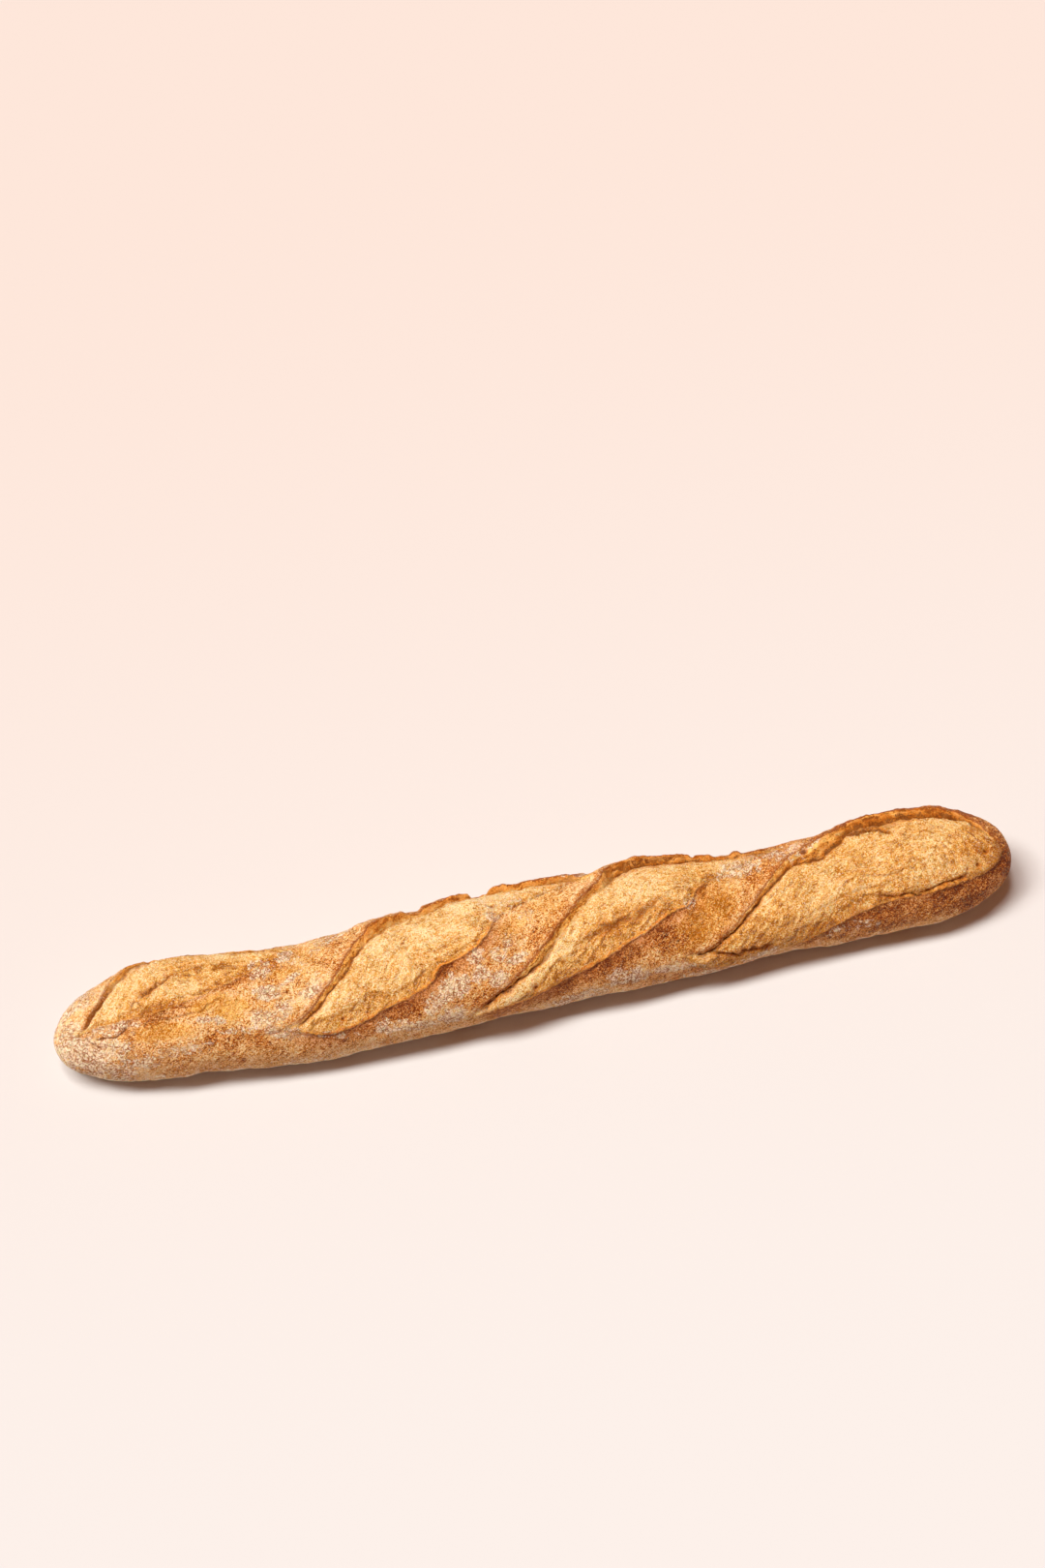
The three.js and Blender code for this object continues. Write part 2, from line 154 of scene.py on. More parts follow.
opening = {
    "lipReach": 8.0,  # how far back the crust lifts towards the ear
    "lipDip": 0.2,  # share by which the very edge of the ear is lower
    "lipDipReach": 1.2,
    "flapFade": 2.5,  # over which a flap starts and stops
    "raggedFrom": 0.15,  # share of the ear's length over which it becomes ragged
    "roll": 1.4,  # how far a full ear leans over its wall
    "rollReach": 1.5,
    "rollBack": 0.3,  # it leans most this far behind its edge
    "fullEar": 3.5,  # height of a full ear
    "mostRoll": 1.3,  # a taller one leans up to this many times as far
    "leastWall": 0.5,
    "creaseReach": 4.5,  # over which the dough climbs out of the crevice
    "creaseShare": 0.4,  # of the crevice's depth, and the rest is climbed at its foot
    "footReach": 1.3,
    "creviceWidth": 0.6,  # at the narrowest
    "creviceSpread": 0.12,  # wider by this for each millimetre of wall
    "gape": 1.3,  # how much wider it is on the far side
    "gapeFrom": -12.0,  # it starts to widen this far round, towards the back
    "gapeOver": 15.0,
    "faintDepth": 0.32,  # a crevice shallower than this gets no painted shade
    "clearDepth": 1.6,  # and its painted shade is full when deeper by this
    "closeWidth": 7.0,  # an opening narrower than this is shallower
    "groove": 0.5,
    "grooveReach": 1.6,
    "stripDepth": 0.8,
    "stripFade": 2.5,
    "stripEdge": (0.6, 2.0),  # how far outside the strip its colour starts, and over how much
    "shadeReach": 8.0,  # how far below the heel the crust is browner and painted in shade
    "earEnds": (13.0, 9.0),  # how far from the slash's two tips its ear reaches its full height
    "heelEnds": (13.0, 21.0),
    "openFrom": 0.02,  # shares of the full opening and of the full ear from which the crumb and the wall show
    "wallFrom": 0.05,
    "flowMargin": 0.5,  # the crust's fibres follow a slash from this far outside it
}
# The torn face falls from near the ear's top to the foot of the crevice.
tornFace = {
    "top": 0.8,  # where it starts, as a share of the ear's height
    "power": 1.2,
    "slope": 0.45,  # share of the crevice's depth that it falls on its way, and the rest drops near its foot
    "dropFrom": 0.7,
    "fullWidth": 4.0,  # a face this wide shows its strands in full
    "strands": 1.6,
    "level": 0.4,
}
# Torn strands and curls: (length, width), how far they stand out, and the level that counts as their foot.
fibres = {
    "strand": (9.0, 1.7),
    "curl": (4.0, 2.2),
    "curlSlant": 5.0,  # across the slash, a curl moves on by its own length in this
    "strands": 0.5,
    "besideCrevice": 0.6,  # so much further out beside the crevice
    "besideReach": 6.0,
    "curls": 0.6,
    "strandLevel": 0.3,
    "curlLevel": 0.2,
}

# Smaller tears: the line, how far the crust lifts behind it and ahead of it, the gash's depth and width,
# how much of it is broken off here and there, and how dark its painted shade is where its depth doesn't
# say so.
tears = (
    {"line": ((-264, 26), (-257, 14), (-252, -7), (-247, -16), (-244, -27), (-237, -49)),
     "lift": (0.5, 0.3), "gash": (1.2, 0.7), "broken": 0.2},
    {"line": ((-259, 16), (-254, 6), (-250, -7), (-244, -22), (-236, -34)),
     "lift": (0.9, 0), "gash": (2.2, 0.9), "broken": 0.15},
    {"line": ((-224, 0), (-219, -9), (-214, -15), (-213, -22)),
     "lift": (0, 1.8), "gash": (1.8, 1.7), "broken": 0},
    {"line": ((-213, -15), (-209, -19), (-202, -29)),
     "lift": (0, 1.2), "gash": (1.3, 1.1), "broken": 0.1},
    {"line": ((-231, 12), (-227, 1), (-223, 9)),
     "lift": (0, 1.0), "gash": (1.2, 1.1), "broken": 0.1, "dark": 0.6},
    {"line": ((-232, 29), (-211, 29), (-197, 28), (-188, 19), (-176, 8)),
     "lift": (0.8, 0), "gash": (0.6, 0.6), "broken": 0.6, "dark": 0.3},
    {"line": ((-253, 34), (-245, 37), (-239, 35), (-233, 25)),
     "lift": (0.9, 0), "gash": (1.2, 0.6), "broken": 0.1, "dark": 0.75},
    {"line": ((-257, 26), (-256, 38), (-249, 49)),
     "lift": (0.4, 0), "gash": (0.9, 0.6), "broken": 0.3, "dark": 0.5},
    {"line": ((-171, 58), (-157, 55), (-148, 52)),
     "lift": (0.7, 0), "gash": (1.0, 0.7), "broken": 0.3, "dark": 0.5},
    {"line": ((-76, 36), (-72, 32), (-67, 27)),
     "lift": (0.5, 0), "gash": (1.2, 0.7), "broken": 0.1, "dark": 0.6},
    {"line": ((-38, 0), (-34, -12), (-32, -22), (-30, -32)),
     "lift": (0, 0.9), "gash": (0.7, 0.7), "broken": 0.4, "dark": 0.2},
    {"line": ((18, 36), (28, 28), (34, 24), (42, 22), (50, 16), (60, 10), (72, 1)),
     "lift": (0.5, 0.8), "gash": (1.4, 2.2), "broken": 0.55, "dark": 0.7},
    {"line": ((-1, 32), (8, 14), (17, -2), (26, -18), (38, -38)),
     "lift": (0.8, 0), "gash": (1.2, 0.8), "broken": 0.4},
    {"line": ((44, -44), (52, -53), (66, -60), (90, -62)),
     "lift": (0.8, 0), "gash": (1.6, 0.9), "broken": 0.5},
    {"line": ((80, 70), (98, 72), (105, 75), (112, 73), (121, 77), (128, 70)),
     "lift": (1.4, 0), "gash": (2.2, 1.3), "broken": 0.3},
    {"line": ((129, 58), (135, 55), (142, 52)),
     "lift": (0.4, 0), "gash": (1.0, 0.7), "broken": 0.2, "dark": 0.45},
    {"line": ((138, 66), (150, 59), (160, 53)),
     "lift": (0.4, 0), "gash": (0.8, 0.7), "broken": 0.4, "dark": 0.25},
    {"line": ((186, 47), (197, 53), (207, 52), (212, 56), (218, 53), (226, 49), (246, 46)),
     "lift": (0.4, 0.9), "gash": (2.0, 0.8), "broken": 0.15},
    {"line": ((177, -44), (187, -35), (196, -37), (203, -28), (208, -24)),
     "lift": (2.4, 0), "gash": (1.8, 1.1), "broken": 0.1},
    {"line": ((150, 52), (164, 44), (180, 38), (198, 40)),
     "lift": (0.5, 0), "gash": (0.7, 0.9), "broken": 0.6, "dark": 0.2},
    {"line": ((182, 22), (190, 27), (200, 29), (210, 26)),
     "lift": (0.5, 0), "gash": (0.7, 0.9), "broken": 0.4, "dark": 0.25},
)
tearing = {
    "liftReach": 3.5,  # how far from a tear its lift dies away
    "endShare": 0.15,  # share of its length over which it starts and stops
    "furthest": 14.0,
    "darkDepth": 1.5,  # a gash of this depth gets the darkest painted shade
}

# Hollows and blisters: (along, round, radius, depth), a negative depth standing out. Hollows are also
# painted dark as shade, and blisters browner.
pits = (
    (156, -29, 3.0, 1.6),
    (164, -15, 3.2, 2.0),
    (168, -36, 2.6, -1.0),
    (203, -45, 3.4, 1.6),
    (219, -44, 2.6, 1.4),
    (246, -36, 3.4, 1.2),
    (249, 39, 2.2, 1.2),
    (255, 24, 2.4, 1.2),
    (242, 41, 1.8, 0.8),
    (-118, 53, 1.6, 1.2),
    (-104, 53, 1.4, 1.2),
    (-24, -32, 1.8, 1.0),
    (104, 22, 3.0, -0.8),
    (92, 0, 3.0, -0.7),
    (-10, 66, 2.4, 1.6),
)
pitSteepness = 1.5

# Where the oven and the flour left their marks: (along, round, half length, half width, turn, strength),
# the turn in degrees on the crust laid flat.
marks = {
    "flour": (
        # the left end
        (-266, 14, 15, 6, 75, 0.6), (-260, 54, 18, 10, 60, 0.9), (-248, 45, 14, 4, 20, 0.8),
        (-241, 24, 12, 3, 10, 0.7), (-239, 70, 24, 4, 15, 0.5), (-214, 64, 21, 3.5, 0, 0.45),
        (-192, 36, 5, 2, 0, 0.8), (-184, 38, 3, 3, 0, 1.0),
        # between the first slash and the second
        (-169, 50, 16, 2, 0, 0.55), (-161, 40, 7, 5, 0, 0.7), (-156, 10, 6, 5, -15, 0.9),
        (-156, -24, 8, 6, 90, 0.7), (-149, 32, 8, 4, -35, 0.7), (-148, 58, 14, 3, 10, 0.6),
        (-142, -37, 6, 4.5, -65, 0.8), (-139, -30, 9, 7, 25, 0.35), (-138, -8, 8, 2, -35, 0.8),
        (-131, 16, 7, 4, -35, 0.6), (-124, 67, 12, 2, 15, 0.5), (-115, -56, 16, 7, -35, 0.5),
        # between the second and the third
        (-92, 73, 10, 4, 5, 0.7), (-75, 79, 10, 3.5, 5, 0.6), (-67, 60, 6, 5, -10, 0.9),
        (-58, 76, 8.5, 4.5, -5, 0.9), (-54, 48, 8, 6, -10, 1.0), (-39, 24, 5, 4, -30, 0.85),
        (-38, 42, 5, 4.5, 40, 0.9), (-30, 51, 5, 3.5, -15, 0.8), (-27, 27, 5.5, 4.5, 15, 0.6),
        (-26, -18, 4.5, 3, 35, 0.8), (-20, 13, 4.5, 3.5, -80, 0.6), (-18, 36, 6.5, 3, 0, 1.0),
        (-17, -38, 16, 7, 0, 0.3), (-6, -13, 5.5, 3.5, -35, 0.4),
        # from the third to the right end
        (15, 95, 17, 6, -5, 0.6), (32, -68, 14, 5.5, -5, 0.5), (42, 76, 13, 5, 0, 0.75),
        (65, 80, 19, 3, 5, 0.7), (84, 11, 4, 3.5, -70, 0.7), (97, 104, 23, 3.5, 10, 0.7),
        (118, -28, 14, 8, -30, 0.5), (122, 90, 13, 5, 0, 0.7), (146, -34, 15.5, 8, -10, 0.5),
        (172, 78, 14, 4, 0, 0.35),
    ),
    "brown": (
        (-249, 68, 14, 2.5, 20, 0.6), (-202, 16, 12, 2.5, 0, 0.9), (-185, -2, 7, 3, -5, 0.7),
        (-179, 58, 16.5, 5, 0, 0.8), (-177, -2, 4, 3, -10, 0.9), (-176, 84, 2.5, 1.5, -15, 0.9),
        (-167, -14, 8, 3.5, -45, 0.9), (-148, -32, 7, 4, -35, 0.9), (-130, 66, 5.5, 1.5, 15, 0.9),
        (-110, 72, 13, 4.5, 0, 0.8), (-83, 62, 14.5, 5, -15, 1.0), (-57, 30, 7.5, 4.5, -20, 0.8),
        (-47, 62, 10, 8, -15, 0.55), (-24, 89, 14, 5.5, 0, 0.6), (-10, 38, 8.5, 3.5, -25, 0.5),
        (1, 12, 14.5, 6, -45, 0.5), (2, 76, 14, 5, -15, 0.8), (26, 63, 17, 5, -15, 0.7),
        (47, 54, 19.5, 4, -5, 0.6), (68, -65, 26, 3, 0, 0.3), (70, 21, 3.5, 2.5, -15, 0.8),
        (73, 45, 15.5, 7.5, -10, 0.65), (93, -2, 5.5, 3.5, -70, 1.0), (94, 26, 16, 8.5, -25, 0.4),
        (103, 20, 4.5, 3, -50, 1.0), (127, -10, 11, 6, -45, 0.5), (153, 66, 5.5, 2.5, -10, 0.4),
        (160, -38, 12, 4, -35, 0.5), (198, 78, 22, 7.5, -5, 0.6), (200, -60, 30, 5.5, -5, 0.9),
        (205, 72, 60, 7, -3, 0.7), (208, 43, 22, 3.5, -5, 0.35), (226, 60, 12.5, 3, -10, 1.0),
        (236, -54, 22, 5.5, 20, 0.9), (244, 72, 20.5, 13, 10, 0.8), (248, 16, 10.5, 6, -10, 0.6),
        (248, 44, 4.5, 3, -15, 1.0), (254, -10, 8.5, 6, 55, 0.4), (254, -44, 11, 6, 50, 0.7),
        (255, 25, 6, 4, 0, 1.0), (262, 30, 16, 12, 60, 0.8), (267, 53, 13, 10, 90, 1.0),
        (268, -28, 12, 4, -75, 0.4),
    ),
    "gold": (
        (-217, 12, 10.5, 5.5, -10, 0.4), (-214, 42, 16.5, 5, 5, 0.8), (-188, 16, 13, 4, -25, 1.0),
        (-186, -28, 20, 8.5, 0, 0.8), (-177, 26, 11.5, 7.5, -40, 1.0), (-141, -12, 11.5, 5, 0, 0.6),
        (-133, -35, 16.5, 7.5, -10, 0.5), (-15, -4, 11.5, 5.5, -30, 0.6), (0, 62, 16, 3.5, -10, 0.5),
        (4, -22, 13.5, 8, -20, 0.4), (49, 14, 25, 7.5, -20, 0.6), (92, 32, 20, 10, -40, 0.7),
        (101, 0, 15.5, 9, -25, 0.5), (120, 58, 23, 10, -25, 0.9), (157, 51, 24, 5.5, -10, 0.6),
        (208, 20, 16, 8, 0, 0.3), (242, 8, 17, 12, -40, 0.6),
    ),
}
markEdge = (1.45, 0.8)  # where a mark has faded out, in its own radii, and over how much

# Unevenness: layers of (height, size, seed).
layers = {
    "crust": ((0.9, 34.0, 1), (0.6, 15.0, 2), (0.36, 7.0, 3), (0.2, 3.2, 4), (0.16, 1.8, 5)),
    "earLine": ((0.54, 5.0, 11), (0.45, 2.3, 12)),
    "heelLine": ((0.6, 8.0, 13), (0.4, 2.4, 14)),
    "earHeight": ((0.16, 7.0, 15), (0.1, 2.6, 17)),
    "wallWidth": ((0.25, 8.0, 16),),
    "bend": ((1.6, 9.0, 18),),
    "stripWidth": ((0.3, 9.0, 21),),
    "creviceWidth": ((0.6, 3.0, 22),),
    "tearLine": ((0.9, 3.5, 31), (0.5, 1.8, 32)),
    "tearBreaks": ((1.4, 4.0, 33),),
    "tearWidth": ((0.5, 2.6, 34),),
    "markEdge": ((0.3, 6.0, 41), (0.3, 2.6, 42)),
    "flow": ((1.5, 14.0, 51),),
}
strandSeed, curlSeed = 19, 20

# What each mask holds away from every slash.
idle = {"blush": 0, "strip": 0, "lens": -8, "wall": -3, "strand": 0.5, "shade": 0}
# How far from its line each kind is drawn: millimetres, and for a gash its own widths.
lineReach = {"rim": 5.0, "heel": 4.0, "gash": 3.5}
# A slash or tear is worked out this far round, and this far past its ends.
reach = {"round": 135, "slash": 30, "tear": 12}
flowWay = (0.66, 0.75)  # the way the crust's fibres run away from the slashes
lowPart = 24.0  # flour from the baking sheet clings below this height
# The cracked crust at the left end starts at this place, which slants with the angle round.
crackle = {"along": -228, "slant": 0.12, "over": 26, "round": 18, "roundOver": 14}


def smooth(t):
    # 0 below 0, 1 above 1, and an S between: t squared times (3 - 2t)
    t = np.clip(t, 0, 1)
    return t * t * (3 - 2 * t)


def curveAt(stations, x):
    # a cubic between neighbouring stations, whose slope at each is the mean of the straight lines beside it
    knots = np.array(stations, float)
    place, value = knots[:, 0], knots[:, 1]
    between = np.diff(value) / np.diff(place)
    slope = np.concatenate([between[:1], (between[1:] + between[:-1]) / 2, between[-1:]])
    x = np.clip(x, place[0], place[-1])
    k = np.clip(np.searchsorted(place, x) - 1, 0, len(place) - 2)
    span = place[k + 1] - place[k]
    t = (x - place[k]) / span
    rise = value[k] * (1 + 2 * t) * (1 - t) ** 2 + value[k + 1] * t * t * (3 - 2 * t)
    return rise + span * (slope[k] * t * (1 - t) ** 2 - slope[k + 1] * t * t * (1 - t))


def endSwell(x):
    # the quarter circle that rounds off each end: 0 at the tip, 1 from endLength inwards
    fromEnd = np.clip((loaf["length"] / 2 - np.abs(x)) / loaf["endLength"], 0, 1)
    return np.sqrt(np.maximum(1 - (1 - fromEnd) ** 2, 0))


def bareSurface(x, turn):
    # the plain loaf: an oval section, |sin/width|^n + |cos/height|^n = radius^-n, with another n below the
    # belt
    halfWidth = curveAt(loaf["halfWidth"], x)
    swell = endSwell(x)
    height = 2 * halfWidth * loaf["heightToWidth"]
    belt = height * loaf["beltHeight"]
    above = np.cos(turn) > 0
    under = loaf["sunkShare"] * belt * swell ** loaf["underSwell"]
    tall = np.where(above, (height - belt) * swell, under)
    power = np.where(above, loaf["crownSquareness"], loaf["baseSquareness"])
    across = np.abs(np.sin(turn)) / np.maximum(halfWidth * swell, 1e-6)
    upward = np.abs(np.cos(turn)) / np.maximum(tall, 1e-6)
    radius = (across**power + upward**power) ** (-1 / power)
    y = curveAt(loaf["drift"], x) - radius * np.sin(turn)
    return np.stack([x, y, belt + radius * np.cos(turn)], -1)


def unit(vectors):
    # each vector divided by its own length
    return vectors / np.maximum(np.linalg.norm(vectors, axis=-1, keepdims=True), 1e-9)


def cellValue(ix, iy, iz, seed):
    # a repeatable number from 0 to 1 for each whole-number cell: large primes times it, shifted and mixed
    n = (ix * 73856093) ^ (iy * 19349663) ^ (iz * 83492791) ^ (seed * 49979693)
    n = (n ^ (n >> 13)) * 1274126177 & 0x7FFFFFFF
    n = (n ^ (n >> 15)) * 668265263 & 0x7FFFFFFF
    return (n ^ (n >> 16)) / 0x7FFFFFFF


def lumps(points, size, seed):
    # smooth noise from -1 to 1: cell values of that size, blended along the three axes
    firstCell = 1000  # keeps the number of every cell above 0
    p = points / size + firstCell
    cell = np.floor(p).astype(np.int64)
    f = p - cell
    f = f * f * f * (f * (6 * f - 15) + 10)
    total = 0
    for corner in range(8):
        dx, dy, dz = corner & 1, corner >> 1 & 1, corner >> 2
        weight = (
            np.where(dx, f[..., 0], 1 - f[..., 0])
            * np.where(dy, f[..., 1], 1 - f[..., 1])
            * np.where(dz, f[..., 2], 1 - f[..., 2])
        )
        total = total + weight * cellValue(cell[..., 0] + dx, cell[..., 1] + dy, cell[..., 2] + dz, seed)
    return 2 * total - 1


def uneven(points, name):
    # the named layers of lumps, each times its height, added up
    return sum(height * lumps(points, size, seed) for height, size, seed in layers[name])


def crests(along, across, seed):
    # thin crests where noise in that plane crosses its middle: 1 on a crest, less the noise's size beside it
    return 1 - np.abs(lumps(np.stack([along, across, np.zeros_like(along)], -1), 1.0, seed))


def splineThrough(stations, steps=14):
    # the curve through the stations that leaves each one parallel to the line between its neighbours
    p = np.array(stations, float)
    padded = np.concatenate([p[:1], p, p[-1:]])
    t = np.arange(steps)[:, None] / steps
    parts = []
    for k in range(len(p) - 1):
        a, b, c, d = padded[k : k + 4]
        v, w = (c - a) / 2, (d - b) / 2
        parts.append((2 * b - 2 * c + v + w) * t**3 + (3 * c - 3 * b - 2 * v - w) * t**2 + v * t + b)
    return np.concatenate(parts + [p[-1:]])


def unroll(x, roundDegrees):
    # the crust laid flat: along, and arc length from the crown
    return np.stack([x, roundDegrees * degree * loaf["faceRadius"] * np.sqrt(endSwell(x))], -1)


def fromLine(flat, stations):
    # signed distance to a line on the flat crust, positive towards the front, with the place and share of
    # the line's nearest spot and the direction across the line there
    path = splineThrough(stations)
    line = unroll(path[:, 0], path[:, 1])
    start, leg = line[:-1], np.diff(line, axis=0)
    legLength = np.linalg.norm(leg, axis=1)
    toPoint = flat[:, None, :] - start[None]
    t = np.clip((toPoint * leg).sum(-1) / legLength**2, 0, 1)
    gap = toPoint - t[..., None] * leg
    k = np.argmin((gap**2).sum(-1), axis=1)
    i = np.arange(len(flat))
    side = leg[k, 0] * toPoint[i, k, 1] - leg[k, 1] * toPoint[i, k, 0]
    distance = np.sign(side) * np.linalg.norm(gap[i, k], axis=-1)
    travelled = np.concatenate([[0], np.cumsum(legLength)])
    share = (travelled[k] + t[i, k] * legLength[k]) / travelled[-1]
    place = start[k, 0] + t[i, k] * leg[k, 0]
    across = np.stack([-leg[k, 1], leg[k, 0]], -1) / legLength[k, None]
    return distance, place, share, across


def nearTo(stations, margin, x, roundDegrees):
    # the points that a line can reach: over the crown and sides, and no further than the margin past its ends
    along = np.array(stations, float)[:, 0]
    return (np.abs(roundDegrees) < reach["round"]) & (x > along.min() - margin) & (x < along.max() + margin)


def fadeAtTips(slash, flat, reaches):
    # 0 at a slash's two tips, 1 from those reaches onwards, an S between
    tips = unroll(*np.array([slash["ear"][0], slash["ear"][-1]], float).T)
    return smooth(np.linalg.norm(flat[:, None] - tips, axis=2) / reaches).prod(1)


def earHeight(slash, place, points):
    # the ear's own stations, plus each flap between an S up and an S down, made a little uneven
    height, fade = curveAt(slash["edge"], place), opening["flapFade"]
    for start, end, extra in slash["flaps"]:
        height = height + extra * smooth((place - start) / fade + 0.5) * smooth((end - place) / fade + 0.5)
    return height * (1 + uneven(points, "earHeight"))


def tornWall(ear, wall, edge, depth, strands):
    # the top, minus a power of the way down, minus the drop at the foot, plus strands in the middle
    fallen = np.clip(ear / wall, 0, 1)
    top, slope, dropFrom = edge * tornFace["top"], tornFace["slope"], tornFace["dropFrom"]
    height = top - (top + slope * depth) * fallen ** tornFace["power"]
    height = height - (1 - slope) * depth * smooth((fallen - dropFrom) / (1 - dropFrom))
    shown = np.sin(np.pi * fallen) * np.clip(wall / tornFace["fullWidth"], 0, 1)
    return height + (strands**2 - tornFace["level"]) * tornFace["strands"] * shown


def slashShape(slash, flat, points):
    # height and forward lean of one slash, and the masks that its colours need: crust that rises towards the
    # ear, the torn wall, a crevice with painted shade, domed dough, a lower strip along the heel, and the
    # heel's ridge with painted shade below it
    ear, earPlace, earShare, across = fromLine(flat, slash["ear"])
    heel, heelPlace, _, _ = fromLine(flat, slash["heel"])
    path = unroll(*splineThrough(slash["ear"]).T)
    travelled = earShare * np.linalg.norm(np.diff(path, axis=0), axis=1).sum()
    ear = ear + uneven(points, "earLine") * smooth(earShare / opening["raggedFrom"])
    heel = -heel + uneven(points, "heelLine")
    tip = fadeAtTips(slash, flat, opening["earEnds"])
    heelTip = fadeAtTips(slash, flat, opening["heelEnds"])
    width = np.maximum(ear + heel, 0)
    inside = (ear > 0) & (heel > 0)
    opened = np.where(inside, smooth(width / opening["closeWidth"]), 1) * np.where(heel < 0, heelTip, tip)
    wall = curveAt(slash["wall"], earPlace) * (1 + uneven(points, "wallWidth"))
    wall = np.maximum(wall, opening["leastWall"])
    edge = earHeight(slash, earPlace, points)
    depth = curveAt(slash["depth"], earPlace)
    # the crevice is wider under a wide wall, and gapes where the slash runs down the back
    gaping = 1 + opening["gape"] * smooth((opening["gapeFrom"] - flat[:, 1]) / opening["gapeOver"])
    crevice = (opening["creviceWidth"] + opening["creviceSpread"] * wall) * gaping
    crevice = crevice * (1 + uneven(points, "creviceWidth"))
    ridge, ridgeInward, ridgeOutward, ridgeTone = slash["heelRidge"]
    heelTip = heelTip * curveAt(slash["heelFade"], heelPlace)
    # strands run along the slash: noise stretched that way and bent a little
    bend = uneven(points, "bend")
    (strandLength, strandWidth), (curlLength, curlWidth) = fibres["strand"], fibres["curl"]
    strands = crests(travelled / strandLength, (ear + bend) / strandWidth, strandSeed)
    curls = crests(travelled / curlLength + ear / fibres["curlSlant"], (ear + 2 * bend) / curlWidth, curlSeed)

    behind = np.exp(np.minimum(ear, 0) / opening["lipReach"])
    behind = edge * (behind - opening["lipDip"] * np.exp(-((ear / opening["lipDipReach"]) ** 2)))
    torn = tornWall(ear, wall, edge, depth, strands)
    past = np.maximum(ear - wall, 0)
    middle = past / (past + np.maximum(heel, 0) + 1e-6)
    dome = slash["rise"] * np.sqrt(np.maximum(1 - (2 * middle - 1) ** 2, 0))
    crease = opening["creaseShare"] * np.exp(-past / opening["creaseReach"])
    foot = (1 - opening["creaseShare"]) * np.exp(-past / opening["footReach"])
    groove = opening["groove"] * np.exp(-np.maximum(heel, 0) / opening["grooveReach"])
    dough = dome - depth * (crease + foot) - groove
    strip = curveAt(slash["strip"], heelPlace) * (1 + uneven(points, "stripWidth")) - heel
    dough = dough - opening["stripDepth"] * smooth(strip / opening["stripFade"])
    dough = dough + ridge * heelTip * np.exp(-heel / ridgeInward)
    standing = fibres["strands"] + fibres["besideCrevice"] * np.exp(-past / fibres["besideReach"])
    dough = dough + (strands**3 - fibres["strandLevel"]) * standing
    dough = dough + (curls**4 - fibres["curlLevel"]) * fibres["curls"]
    outside = ridge * np.exp(np.minimum(heel, 0) / ridgeOutward)
    height = np.select([ear < 0, heel < 0, ear < wall], [behind, outside, torn], dough) * opened
    lean = opening["roll"] * np.exp(-(((ear + opening["rollBack"]) / opening["rollReach"]) ** 2))
    lean = lean * np.clip(edge / opening["fullEar"], 0, opening["mostRoll"]) * tip
    stripOut, stripOver = opening["stripEdge"]
    # the crevice is painted dark as shade, the more so the deeper it is
    drawn = smooth((depth - opening["faintDepth"]) / opening["clearDepth"])
    return {
        "height": height,
        "lean": lean,
        "across": across,
        "lens": np.where(opened > opening["openFrom"], np.minimum(ear, heel), idle["lens"]),
        "wall": np.where(tip > opening["wallFrom"], np.minimum(ear, wall - ear), idle["wall"]),
        "lines": {
            "rim": (ear, slash["browned"] * tip),
            "heel": (heel, ridgeTone * heelTip),
            "gash": ((ear - wall) / crevice, opened * inside * drawn),
        },
        # painted shade, with some browning, on the crust just below the heel ridge
        "shade": ridgeTone * heelTip * (heel < 0) * np.exp(-((heel / opening["shadeReach"]) ** 2)),
        "blush": np.where(inside, middle, idle["blush"]),
        "strand": np.where(inside, strands, idle["strand"]),
        "strip": np.where(inside, smooth((strip + stripOut) / stripOver), idle["strip"]),
        "flowAlong": travelled,
        "flowAcross": ear + bend,
    }


def tearShape(tear, flat, points):
    # height of one small tear, how many gash widths away it is, and how dark its painted shade is: a lift
    # that dies away on each side, minus a bell-shaped gash, both fading towards the ends
    (behind, ahead), (depth, wide) = tear["lift"], tear["gash"]
    away, _, share, _ = fromLine(flat, tear["line"])
    away = away + uneven(points, "tearLine")
    wide = wide * (1 + uneven(points, "tearWidth"))
    ends = tearing["endShare"]
    fade = smooth(share / ends) * smooth((1 - share) / ends) * (np.abs(away) < tearing["furthest"])
    fade = fade * (1 - tear["broken"] * smooth(0.5 + uneven(points, "tearBreaks")))
    lift = np.where(away < 0, behind, ahead) * np.exp(-np.abs(away) / tearing["liftReach"])
    height = (lift - depth * np.exp(-((away / wide) ** 2))) * fade
    return height, away / wide, fade * tear.get("dark", min(depth / tearing["darkDepth"], 1))


def keepNearest(masks, name, near, away, strength):
    # a line is kept as the signed distance to the nearest one and its strength there, so that it stays thin
    held, heldStrength = masks[name][near], masks[name + "Strength"][near]
    closer = np.abs(away) < np.abs(held)
    masks[name][near] = np.where(closer, away, held)
    fade = smooth(lineReach[name] - np.abs(away))
    masks[name + "Strength"][near] = np.where(closer, strength * fade, heldStrength)


def markMask(places, flat, points):
    # soft ellipses with ragged borders: full strength inside, fading out as markEdge says
    mask = np.zeros(len(flat))
    ragged = uneven(points, "markEdge")
    fadedOut, fadeWidth = markEdge
    for along, angle, length, width, turned, strength in places:
        off = flat - unroll(np.array([float(along)]), np.array([float(angle)]))
        c, s = np.cos(turned * degree), np.sin(turned * degree)
        out = np.hypot((off[:, 0] * c + off[:, 1] * s) / length, (off[:, 1] * c - off[:, 0] * s) / width)
        mask = np.maximum(mask, strength * smooth((fadedOut - out - ragged) / fadeWidth))
    return mask


